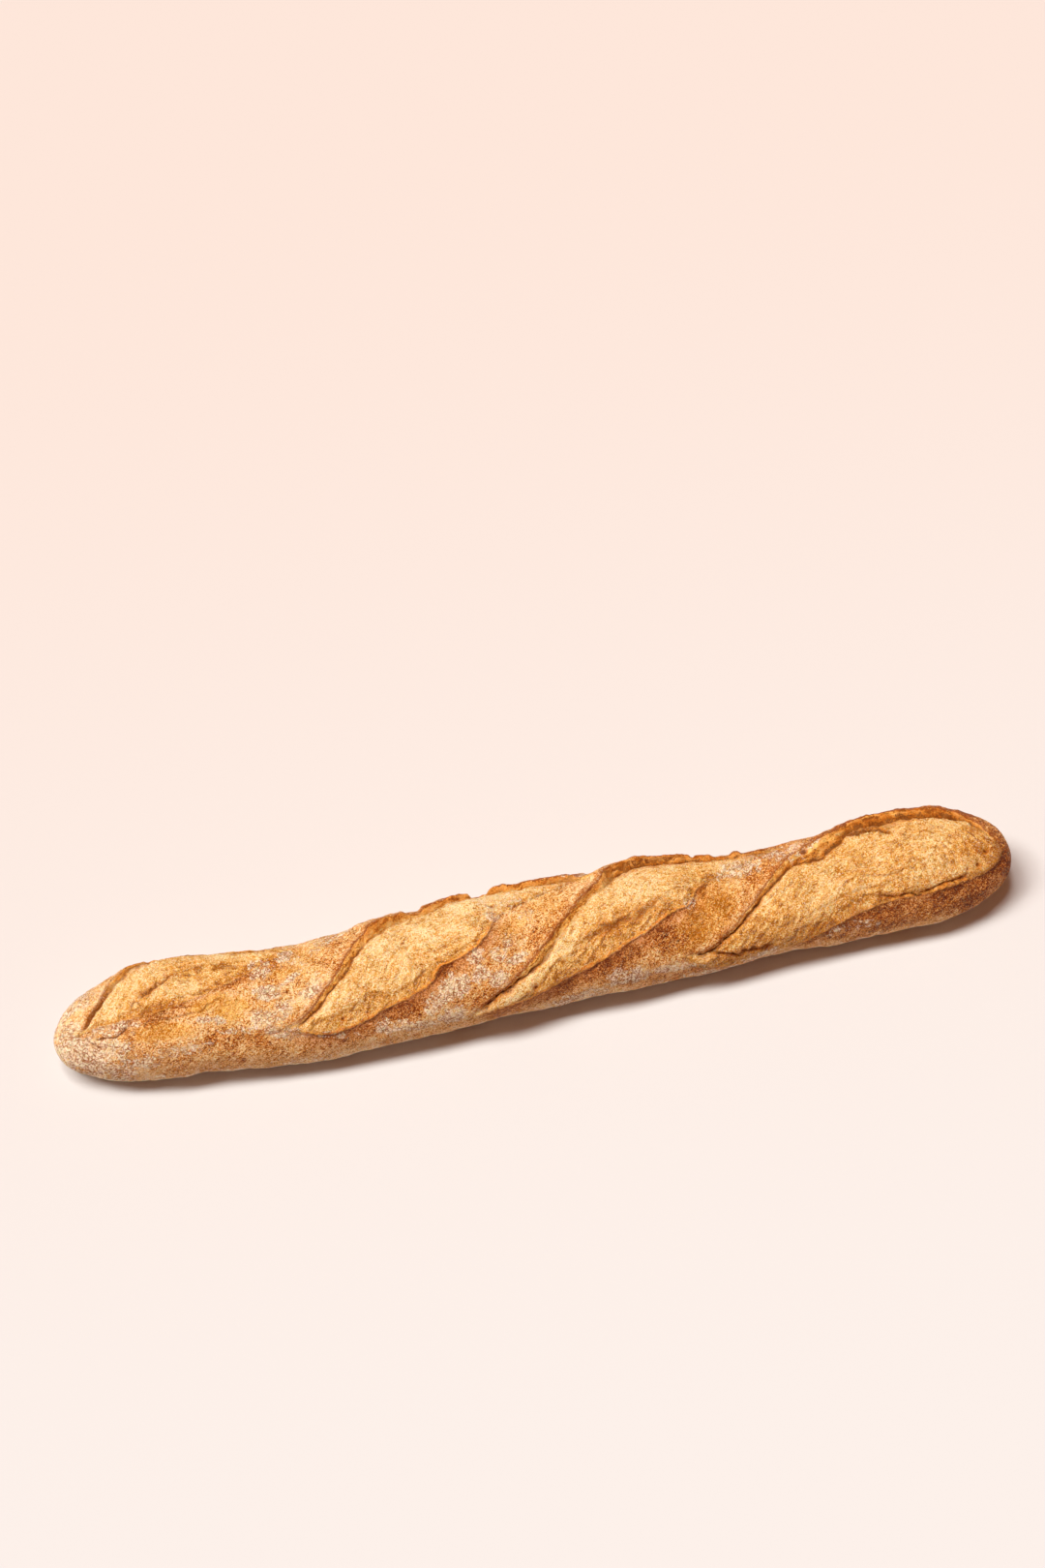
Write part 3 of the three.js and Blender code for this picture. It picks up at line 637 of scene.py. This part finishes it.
def loafGrid():
    # rings along the loaf, close together where the ends round off, and columns that twist with the slashes
    half, endLength = loaf["length"] / 2, loaf["endLength"]
    straight, endArc = half - endLength, endLength * np.pi / 2
    share = np.arange(1, loaf["rings"]) / loaf["rings"] * 2 - 1
    travelled = np.abs(share) * (straight + endArc)
    rounded = straight + endLength * np.sin(np.clip((travelled - straight) / endLength, 0, np.pi / 2))
    x = np.sign(share) * np.where(travelled < straight, travelled, rounded)
    turn = np.arange(loaf["columns"]) / loaf["columns"] * 2 * np.pi
    turn = turn[None, :] - loaf["twist"] * degree * x[:, None]
    turn = turn - loaf["crownDensity"] * np.sin(turn - loaf["denseAt"] * degree)
    return np.broadcast_to(x[:, None], turn.shape), (turn + np.pi) % (2 * np.pi) - np.pi


def gridFaces(rings, columns):
    # quads between neighbouring rings, and a fan of triangles to the one point at each end
    ring, column = np.meshgrid(np.arange(rings - 1), np.arange(columns), indexing="ij")
    a = ring * columns + column
    b = ring * columns + (column + 1) % columns
    quads = np.stack([a, b, b + columns, a + columns], -1).reshape(-1, 4)
    first, last = rings * columns, rings * columns + 1
    here = np.arange(columns)
    onward = (here + 1) % columns
    top = (rings - 1) * columns
    fanA = np.stack([onward, here, np.full(columns, first)], -1)
    fanB = np.stack([top + here, top + onward, np.full(columns, last)], -1)
    return quads, np.concatenate([fanA, fanB])


def sculptLoaf():
    # the bare surface, moved outwards by the relief, and along the crust where an ear leans
    x, turn = loafGrid()
    rings, columns = x.shape
    x, turn = x.reshape(-1), turn.reshape(-1)
    bare = bareSurface(x, turn)
    inward = -np.sign(x + 1e-9)
    alongStep, turnStep = 0.02, 0.001
    alongWay = unit((bareSurface(x + inward * alongStep, turn) - bare) * inward[:, None])
    roundWay = unit(bareSurface(x, turn + turnStep) - bare)
    outward = unit(np.cross(roundWay, alongWay))
    roundDegrees = turn / degree
    flat = unroll(x, roundDegrees)

    height = uneven(bare, "crust")
    push = np.zeros((len(x), 3))
    masks = {name: np.full(len(x), float(value)) for name, value in idle.items()}
    for name, furthest in lineReach.items():
        masks[name] = np.full(len(x), furthest)
        masks[name + "Strength"] = np.zeros(len(x))
    masks["flowAlong"] = flowWay[0] * flat[:, 0] - flowWay[1] * flat[:, 1]
    masks["flowAcross"] = flowWay[1] * flat[:, 0] + flowWay[0] * flat[:, 1] + uneven(bare, "flow")
    for slash in slashes:
        near = nearTo(slash["ear"] + slash["heel"], reach["slash"], x, roundDegrees)
        shape = slashShape(slash, flat[near], bare[near])
        height[near] += shape["height"]
        way = shape["across"][:, :1] * alongWay[near] + shape["across"][:, 1:] * roundWay[near]
        push[near] += way * shape["lean"][:, None]
        for name in idle:
            masks[name][near] = np.maximum(masks[name][near], shape[name])
        for name, (away, strength) in shape["lines"].items():
            keepNearest(masks, name, near, away, strength)
        for name in ("flowAlong", "flowAcross"):
            follows = shape["lens"] > -opening["flowMargin"]
            masks[name][near] = np.where(follows, shape[name], masks[name][near])
    for tear in tears:
        near = nearTo(tear["line"], reach["tear"], x, roundDegrees)
        lift, away, strength = tearShape(tear, flat[near], bare[near])
        height[near] += lift
        keepNearest(masks, "gash", near, away, strength)
    for name, places in marks.items():
        masks[name] = markMask(places, flat, bare)
    masks["pit"] = np.zeros(len(x))
    for place, angle, radius, depth in pits:
        middle = unroll(np.array([float(place)]), np.array([float(angle)]))
        bowl = np.exp(-((np.linalg.norm(flat - middle, axis=1) / radius) ** 2) * pitSteepness)
        height -= depth * bowl
        # hollows get a mask that paints shade into them, and blisters one that browns them
        kind = "pit" if depth > 0 else "brown"
        masks[kind] = np.maximum(masks[kind], min(abs(depth), 1) * bowl)

    masks["low"] = np.clip(1 - bare[:, 2] / lowPart, 0, 1)
    cracked = smooth((crackle["along"] - x + crackle["slant"] * roundDegrees) / crackle["over"])
    masks["crackle"] = cracked * smooth((np.abs(roundDegrees) - crackle["round"]) / crackle["roundOver"])
    calmEnd = smooth((loaf["length"] / 2 - np.abs(x)) / loaf["calmEnd"])
    points = bare + outward * (height * calmEnd)[:, None] + push * calmEnd[:, None]
    # near the table, height becomes log(1 + e^(sharpness * height)) / sharpness, which never falls below it
    low = points[:, 2] < loaf["restHeight"]
    points[low, 2] = np.log1p(np.exp(loaf["restSharpness"] * points[low, 2])) / loaf["restSharpness"]
    tips = bareSurface(np.array([-1.0, 1.0]) * loaf["length"] / 2, np.zeros(2))
    points = np.concatenate([points, tips])
    masks = {name: np.concatenate([values, values[[0, -1]]]) for name, values in masks.items()}
    points[:, :2] += loaf["centre"]
    # pressed into the frame's box, by the share that the furthest crag stands out on each axis
    room = np.array(cadBox[1]) * 1000
    points *= np.minimum(room / np.abs(points).max(0), 1)
    return points, masks, gridFaces(rings, columns)


def makeMesh(name, points, quads, triangles, masks):
    # the points in metres, quads first and triangles after them, and each mask as a number on every point
    mesh = bpy.data.meshes.new(name)
    loops = np.concatenate([quads.reshape(-1), triangles.reshape(-1)])
    sizes = np.concatenate([np.full(len(quads), 4), np.full(len(triangles), 3)])
    mesh.vertices.add(len(points))
    mesh.vertices.foreach_set("co", (points / 1000).astype(np.float32).reshape(-1))
    mesh.loops.add(len(loops))
    mesh.loops.foreach_set("vertex_index", loops.astype(np.int32))
    mesh.polygons.add(len(sizes))
    starts = np.concatenate([[0], np.cumsum(sizes)[:-1]])
    mesh.polygons.foreach_set("loop_start", starts.astype(np.int32))
    mesh.polygons.foreach_set("loop_total", sizes.astype(np.int32))
    mesh.update(calc_edges=True)
    mesh.validate()
    mesh.shade_smooth()
    for mask, values in masks.items():
        layer = mesh.attributes.new(mask, "FLOAT", "POINT")
        layer.data.foreach_set("value", values.astype(np.float32))
    piece = bpy.data.objects.new(name, mesh)
    bpy.context.scene.collection.objects.link(piece)
    return piece


def tint(red, green, blue):
    # screen colour, 0 to 255, to the linear colour that a shader takes
    c = np.array([red, green, blue]) / 255
    c = np.where(c <= 0.04045, c / 12.92, ((c + 0.055) / 1.055) ** 2.4)
    return (*(float(v) for v in c), 1.0)


class Wire:
    # an output socket that sums can be written with: each sum adds one Math node
    def __init__(self, graph, socket):
        self.graph = graph
        self.socket = socket

    def maths(self, operation, *others):
        return self.graph.add("ShaderNodeMath", {"operation": operation}, dict(enumerate((self, *others))))

    def __add__(self, other):
        return self.maths("ADD", other)

    __radd__ = __add__

    def __mul__(self, other):
        return self.maths("MULTIPLY", other)

    __rmul__ = __mul__

    def __sub__(self, other):
        return self.maths("SUBTRACT", other)

    def __rsub__(self, other):
        return self.graph.add("ShaderNodeMath", {"operation": "SUBTRACT"}, {0: other, 1: self})

    def size(self):
        return self.maths("ABSOLUTE")

    def larger(self, other):
        return self.maths("MAXIMUM", other)

    def between(self, low, high):
        # 0 at low, 1 at high, an S between
        settings = {"interpolation_type": "SMOOTHSTEP"}
        sockets = {"Value": self, "From Min": low, "From Max": high}
        return self.graph.add("ShaderNodeMapRange", settings, sockets)


class Graph:
    # one material, and its nodes as they are added
    def __init__(self, name):
        self.material = bpy.data.materials.new(name)
        self.material.use_nodes = True
        self.tree = self.material.node_tree
        self.tree.nodes.clear()

    def add(self, kind, settings=None, sockets=None, output=0):
        # adds one node: its settings first, then a value or a link on each named socket
        node = self.tree.nodes.new(kind)
        for name, value in (settings or {}).items():
            setattr(node, name, value)
        for name, value in (sockets or {}).items():
            if isinstance(value, Wire):
                self.tree.links.new(value.socket, node.inputs[name])
            else:
                node.inputs[name].default_value = value
        return Wire(self, node.outputs[output]) if len(node.outputs) else node

    def attribute(self, name):
        return self.add("ShaderNodeAttribute", {"attribute_name": name}, output="Fac")

    def noise(self, place, scale, detail, roughness, distortion=0.0):
        # noise about zero, half each way
        sockets = {"Vector": place, "Scale": scale, "Detail": detail, "Roughness": roughness}
        sockets["Distortion"] = distortion
        return self.add("ShaderNodeTexNoise", {}, sockets) - 0.5

    def mix(self, factor, under, over):
        settings = {"data_type": "RGBA", "blend_type": "MIX"}
        return self.add("ShaderNodeMix", settings, {0: factor, 6: under, 7: over}, output=2)


crustLook = {
    # (scale, detail, roughness, distortion), from the loaf's own slow blotches to the finest grain
    "noise": {
        "broad": (24, 2, 0.5),
        "blotch": (80, 3, 0.55),
        "curl": (120, 2, 0.5, 0.5),
        "clump": (270, 3, 0.6),
        "crumb": (600, 2, 0.5),
        "grain": (1150, 2, 0.6),
        "speck": (1500, 1, 0.5),
        "fine": (2300, 1, 0.5),
    },
    "flowNoise": {"fibre": (480, 3, 0.6, 0.3), "streak": (330, 2, 0.5, 0.4)},  # drawn out along the slashes
    "flowStretch": (0.0002, 0.001),  # millimetres to metres, and drawn out fivefold along a slash
    "hotEnd": (-0.06, 0.27),  # from here to here along, the loaf baked darker and darker
    "farSide": (0.002, 0.016),  # from here to here across, the back begins
    "flakeScale": 420,  # flakes of flour to the metre
    "flakeBend": 0.008,  # how far their net is bent, in metres
    "flakeBendScale": 260,
    # how far each part baked: a start, and what every noise and mask adds to it
    "baked": {
        "crust": (0.4, {"broad": 0.8, "blotch": 0.8, "clump": 0.7, "crumb": 1.3, "grain": 2.3, "fine": 1.1,
                        "fibre": 1.4, "brown": 0.48, "flour": -0.15, "ripe": 0.22, "wrinkle": 0.25}),
        "dough": (0.2, {"broad": 0.8, "blotch": 0.8, "clump": 0.6, "crumb": 1.1, "grain": 2.0, "fine": 0.9,
                        "fibre": 2.1, "blush": 0.1, "strip": 0.3, "arc": 0.5, "gold": 0.32, "brown": 0.4,
                        "ripe": 0.2, "farSide": 0.07}),
        "torn": (0.95, {"strand": -0.8, "clump": 2.2, "grain": 2.4, "fibre": 3.0, "streak": 1.4,
                        "brown": 0.4}),
        # and in the same way the height of the finest relief
        "bump": (0.0, {"grain": 0.7, "fine": 0.3, "crumb": 0.7, "fibre": 0.8, "clump": 0.5, "speck": 0.4,
                       "wrinkle": -0.5, "arc": -0.4}),
    },
    # the first tint, and (from, to, tint) for each that follows it as the part bakes
    "ramps": {
        "crust": ((254, 230, 186), (0.0, 0.36, (243, 192, 116)), (0.3, 0.62, (219, 140, 44)),
                  (0.55, 0.95, (168, 80, 12)), (0.85, 1.3, (98, 38, 5))),
        "golden": ((248, 198, 100), (0.1, 0.7, (210, 136, 22))),
        # painted shade, with browning, on the crust below each heel ridge
        "shadeUnderHeel": ((206, 118, 50), (0.2, 0.9, (120, 52, 16))),
        "dough": ((250, 228, 178), (0.0, 0.36, (238, 190, 106)), (0.32, 0.75, (216, 150, 54)),
                  (0.7, 1.2, (172, 100, 24))),
        "torn": ((252, 214, 136), (0.0, 0.5, (230, 164, 72)), (0.55, 1.0, (150, 86, 24))),
        "tornTop": ((224, 146, 62), (0.2, 0.9, (160, 84, 22))),
        "rim": ((150, 72, 26), (-0.2, 0.2, (206, 122, 58))),
        # the heel's orange edge, lightened by a painted highlight where the ridge catches the light
        "heel": ((220, 120, 28), (-0.15, 0.15, (252, 188, 92))),
    },
    "tints": {
        # pale specks: partly paler crust, partly painted glints of blisters catching the light
        "crustPaleAndGlint": (255, 222, 164),
        "crustDark": (150, 72, 18),
        "doughLight": (255, 240, 208),
        "doughDark": (196, 118, 34),
        # painted shade in the hollows between torn strands
        "hollowShade": (146, 86, 18),
        "flourGap": (158, 80, 24),
        "flourFlake": (255, 235, 205),
        "flourFoot": (255, 235, 208),
        # around and in crevices, cracks and hollows: browned crust and painted shade
        "besideCrackShade": (206, 118, 30),
        "crackShade": (112, 54, 10),
        "rimEdge": (166, 82, 28),
        # a painted shadow line just below each heel ridge
        "shadowBelowHeel": (120, 56, 24),
    },
    "bumpHeight": 0.0011,
    "shine": 0.16,
    # light seeps a little way through bread, and comes out redder
    "seep": {"Subsurface Weight": 0.4, "Subsurface Radius": (1.0, 0.5, 0.25), "Subsurface Scale": 0.0012},
}


def crustMaterial():
    # crust, torn crumb and torn wall in turn, each a ramp by how far it baked, then flour, cracks and edges,
    # with painted shade in crevices, hollows and below the heels, and painted highlights on heel edges and
    # blisters
    g = Graph("crust")
    place = g.add("ShaderNodeTexCoord", output="Object")
    axes = {"Vector": place}
    at = {name: g.attribute(name) for name in (*idle, *marks, "pit", "low", "crackle")}
    for name in lineReach:
        at[name], at[name + "Strength"] = g.attribute(name), g.attribute(name + "Strength")
    alongStretch, acrossStretch = crustLook["flowStretch"]
    flowAlong = g.attribute("flowAlong") * alongStretch
    flowAcross = g.attribute("flowAcross") * acrossStretch
    flow = g.add("ShaderNodeCombineXYZ", {}, {"X": flowAlong, "Y": flowAcross})
    at.update({name: g.noise(place, *values) for name, values in crustLook["noise"].items()})
    at.update({name: g.noise(flow, *values) for name, values in crustLook["flowNoise"].items()})
    at["ripe"] = g.add("ShaderNodeSeparateXYZ", {}, axes).between(*crustLook["hotEnd"])
    at["farSide"] = g.add("ShaderNodeSeparateXYZ", {}, axes, output=1).between(*crustLook["farSide"])
    blotch, clump, crumb, grain, fibre, ripe = (at[n] for n in "blotch clump crumb grain fibre ripe".split())

    def weigh(name):
        # the start, plus each noise or mask times its weight
        total, weights = crustLook["baked"][name]
        for part, weight in weights.items():
            total = total + at[part] * weight
        return total

    def ramp(name, value):
        # from the first tint, each further one comes in between its two values
        first, *steps = crustLook["ramps"][name]
        colour = tint(*first)
        for low, high, onward in steps:
            colour = g.mix(value.between(low, high), colour, tint(*onward))
        return colour

    def over(colour, factor, name):
        return g.mix(factor, colour, tint(*crustLook["tints"][name]))

    # thin wrinkles: where a noise crosses its middle value, broken off here and there
    unbroken = (blotch + clump * 0.5).between(-0.05, 0.1)
    at["wrinkle"] = (0.022 - at["streak"].size()).between(0.0, 0.02) * unbroken
    at["arc"] = (0.014 - at["curl"].size()).between(0.0, 0.012) * (clump + blotch).between(-0.02, 0.1)
    # on the crust, the pale specks are partly painted glints of blisters catching the light
    specks = at["speck"] + fibre * 0.3
    light, dark = specks.between(0.09, 0.15), specks.between(-0.09, -0.15)

    # the crust, from pale to dark by how far it baked
    bake = weigh("crust")
    crust = g.mix(at["gold"] * 0.8, ramp("crust", bake), ramp("golden", bake))
    crust = over(crust, light * (0.7 - ripe * 0.3), "crustPaleAndGlint")
    crust = over(crust, dark * 0.5, "crustDark")
    # painted shade, with browning, on the crust below each heel ridge
    crust = g.mix(at["shade"] * 0.7, crust, ramp("shadeUnderHeel", bake))

    # the torn crumb, paler and yellower, and ochre in the strip along the heel
    dough = over(ramp("dough", weigh("dough")), light * 0.6, "doughLight")
    dough = over(dough, dark * 0.7, "doughDark")
    # where it tore last it is ragged, with painted shade in the hollows between the strands
    ragged = at["strip"].larger(at["gold"])
    hollowShade = (fibre * 2.2 + clump * 1.6 + ragged * 0.25).between(0.32, 0.55) * ragged
    dough = over(dough, hollowShade * 0.6, "hollowShade")
    # the torn wall, browner along its top where the slash runs down the back
    torn = weigh("torn")
    upper = (at["rim"] + clump * 6 + grain * 3).between(4.6, 1.0) * at["rimStrength"] * at["farSide"]
    wall = g.mix(upper * 0.75, ramp("torn", torn), ramp("tornTop", torn))
    inside = (at["lens"] + clump * 2 + grain * 2).between(-0.4, 0.4)
    colour = g.mix(inside, crust, dough)
    colour = g.mix((at["wall"] + grain * 3).between(-0.4, 0.5), colour, wall)

    # flour caked into flakes, some cells of a net and not others, with browned gaps between them
    bendSockets = {"Vector": place, "Scale": crustLook["flakeBendScale"], "Detail": 2}
    wander = g.add("ShaderNodeTexNoise", {}, bendSockets, output=1)
    bending = {0: wander, 1: (crustLook["flakeBend"],) * 3, 2: place}
    bent = g.add("ShaderNodeVectorMath", {"operation": "MULTIPLY_ADD"}, bending)
    net = {"Vector": bent, "Scale": crustLook["flakeScale"]}
    split = g.add("ShaderNodeTexVoronoi", {"feature": "DISTANCE_TO_EDGE"}, net)
    cell = g.add("ShaderNodeTexVoronoi", {}, net, output="Color")
    picked = g.add("ShaderNodeSeparateXYZ", {}, {"Vector": cell})
    dust = at["flour"].larger(at["low"] * (0.72 - ripe * 0.3)).larger(at["crackle"] * 0.64)
    body = (split + grain * 0.4).between(0.02, 0.16)
    gaps = (1 - body) * dust.between(0.15, 0.6) * (blotch + clump).between(-0.2, 0.0)
    colour = over(colour, gaps * 0.8, "flourGap")
    scatter = dust * 0.85 - picked * 0.55 - 0.1 + clump * 1.9 + crumb * 0.9 + grain * 0.6 + fibre * 0.6
    flakes = scatter.between(-0.03, 0.08) * body * dust.between(0.02, 0.3)
    colour = over(colour, flakes * 0.95, "flourFlake")
    foot = (at["low"] + clump * 0.9 + crumb * 0.5 + grain * 0.9).between(0.51, 0.67)
    foot = foot * at["broad"].between(-0.2, -0.02) * (0.95 - ripe * 0.5)
    colour = over(colour, foot, "flourFoot")

    # lines: the crevices and cracks, browned and darkened with painted shade, the browned rim of each ear,
    # the orange edge of each heel with a painted highlight, and a painted shadow line just below it
    gash = at["gash"].size() + clump * 2.5 + grain * 2.5
    pit = at["pit"] + clump
    # painted shade in crevices, cracks and hollows, with a browned halo that also holds painted shade
    shadedCrevice = ((0.75 - gash).between(-0.1, 0.5) * at["gashStrength"]).larger(pit.between(0.5, 0.9))
    haloBrowningAndShade = ((2.2 - gash).between(0.0, 1.4) * at["gashStrength"]).larger(pit.between(0.1, 0.6))
    colour = over(colour, haloBrowningAndShade * 0.6, "besideCrackShade")
    colour = over(colour, shadedCrevice * 0.8, "crackShade")
    behind = (at["rim"] + clump * 6).between(-3.6, -1.2) * (at["rim"] + clump).between(0.4, 0.0)
    colour = g.mix(behind * at["rimStrength"] * 0.4, colour, ramp("rim", grain + at["fine"]))
    rimEdge = (0.75 - (at["rim"] + 0.2 + clump * 2.5).size() + grain * 2).between(-0.1, 0.3)
    colour = over(colour, rimEdge * at["rimStrength"] * 0.65, "rimEdge")
    # the heel's orange edge, lightened by a painted highlight where the ridge catches the light
    heelEdgeAndHighlight = (0.8 - (at["heel"] - 0.4 + clump * 3).size() + grain * 2.5).between(-0.1, 0.4)
    colour = g.mix(heelEdgeAndHighlight * at["heelStrength"] * 0.9, colour, ramp("heel", grain + crumb))
    # a painted shadow line just below the heel ridge
    shadowBelowHeel = (0.6 - (at["heel"] + 1.2 + clump * 3).size() + grain * 2.5).between(-0.1, 0.4)
    colour = over(colour, shadowBelowHeel * at["heelStrength"] * 0.45, "shadowBelowHeel")

    rough = (0.62 + blotch * 0.4).larger(shadedCrevice * 0.95).larger(flakes * 0.9)
    height = weigh("bump") + flakes * 0.12 - gaps * 0.15 - shadedCrevice * 0.5
    bumpSockets = {"Strength": 1.0, "Distance": crustLook["bumpHeight"], "Height": height}
    bump = g.add("ShaderNodeBump", {}, bumpSockets)
    sockets = {"Base Color": colour, "Roughness": rough, "Normal": bump}
    sockets["Specular IOR Level"] = crustLook["shine"]
    shader = g.add("ShaderNodeBsdfPrincipled", {}, {**sockets, **crustLook["seep"]})
    g.add("ShaderNodeOutputMaterial", {}, {"Surface": shader})
    return g.material


stage = {
    "yaw": 13.188,  # degrees the camera stands to the left of the loaf's front
    "elevation": 58.0,
    "distance": 2.155,
    "aim": (-0.00957, 0.12044),  # what it looks at on the floor: to its right, and away from it
    "lens": 85.0,
    "sensor": 36.0,
    # towards the key light, which is wide from left to right, so three suns stand in for it
    "suns": ((-0.72, 0.1, 1.0), (-0.42, 0.12, 1.0), (-0.12, 0.14, 1.0)),
    "sunStrength": 1.47,
    "sunAngle": 15.0,
    "sunColour": (1.0, 0.96, 0.885),
    "fill": 0.27,
    "fillColour": (1.0, 0.37, 0.19, 1.0),  # light that the table and the bread throw back
    "floorSize": 8.0,
    "floorNear": (209, 213, 218),
    "floorFar": (210, 204, 203),
    "floorBlend": (-0.35, 0.65),  # from near to far between these distances behind the loaf
}


def floorMaterial():
    # pale paper, a little warmer towards the back
    g = Graph("studio paper")
    place = g.add("ShaderNodeTexCoord", output="Object")
    depth = g.add("ShaderNodeSeparateXYZ", {}, {"Vector": place}, output=1)
    colour = g.mix(depth.between(*stage["floorBlend"]), tint(*stage["floorNear"]), tint(*stage["floorFar"]))
    sockets = {"Base Color": colour, "Roughness": 0.9, "Specular IOR Level": 0.1}
    shader = g.add("ShaderNodeBsdfPrincipled", {}, sockets)
    g.add("ShaderNodeOutputMaterial", {}, {"Surface": shader})
    return g.material


def setStage():
    # a camera that looks down at the floor, the floor, three suns side by side, and a dim warm world
    yaw, lift = stage["yaw"] * degree, stage["elevation"] * degree
    right = np.array([np.cos(yaw), -np.sin(yaw), 0.0])
    away = np.array([np.sin(yaw), np.cos(yaw), 0.0])
    back = np.array([-away[0] * np.cos(lift), -away[1] * np.cos(lift), np.sin(lift)])
    up = np.cross(back, right)
    where = right * stage["aim"][0] + away * stage["aim"][1] + back * stage["distance"]
    where[:2] += np.array(loaf["centre"]) / 1000
    camera = bpy.data.objects.new("camera", bpy.data.cameras.new("camera"))
    camera.data.lens = stage["lens"]
    camera.data.sensor_width = stage["sensor"]
    turned = np.stack([right, up, back], 1)
    camera.matrix_world = Matrix([[*turned[k], where[k]] for k in range(3)] + [[0, 0, 0, 1]])
    bpy.context.scene.collection.objects.link(camera)
    bpy.context.scene.camera = camera

    half = stage["floorSize"] / 2
    corners = [(-half, -half, 0), (half, -half, 0), (half, half, 0), (-half, half, 0)]
    mesh = bpy.data.meshes.new("floor")
    mesh.from_pydata(corners, [], [(0, 1, 2, 3)])
    mesh.materials.append(floorMaterial())
    floor = bpy.data.objects.new("floor", mesh)
    bpy.context.scene.collection.objects.link(floor)

    for towards in stage["suns"]:
        light = bpy.data.lights.new("key", "SUN")
        light.energy = stage["sunStrength"]
        light.color = stage["sunColour"]
        light.angle = stage["sunAngle"] * degree
        key = bpy.data.objects.new("key", light)
        z = unit(np.array(towards))
        x = unit(np.cross([0.0, 1.0, 0.0], z))
        y = np.cross(z, x)
        key.matrix_world = Matrix([[x[k], y[k], z[k], 0] for k in range(3)] + [[0, 0, 0, 1]])
        bpy.context.scene.collection.objects.link(key)

    world = bpy.data.worlds.new("studio")
    world.use_nodes = True
    sky = world.node_tree.nodes["Background"]
    sky.inputs["Color"].default_value = stage["fillColour"]
    sky.inputs["Strength"].default_value = stage["fill"]
    bpy.context.scene.world = world
    bpy.context.scene.view_settings.view_transform = "Standard"


setStage()
print("stage set")
points, masks, faces = sculptLoaf()
print("loaf worked out:", len(points), "points", points.min(0).round(2), points.max(0).round(2))
bread = makeMesh("loaf", points, faces[0], faces[1], masks)
bread.data.materials.append(crustMaterial())
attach(bread, "root")
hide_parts("baguette")
print("loaf made")
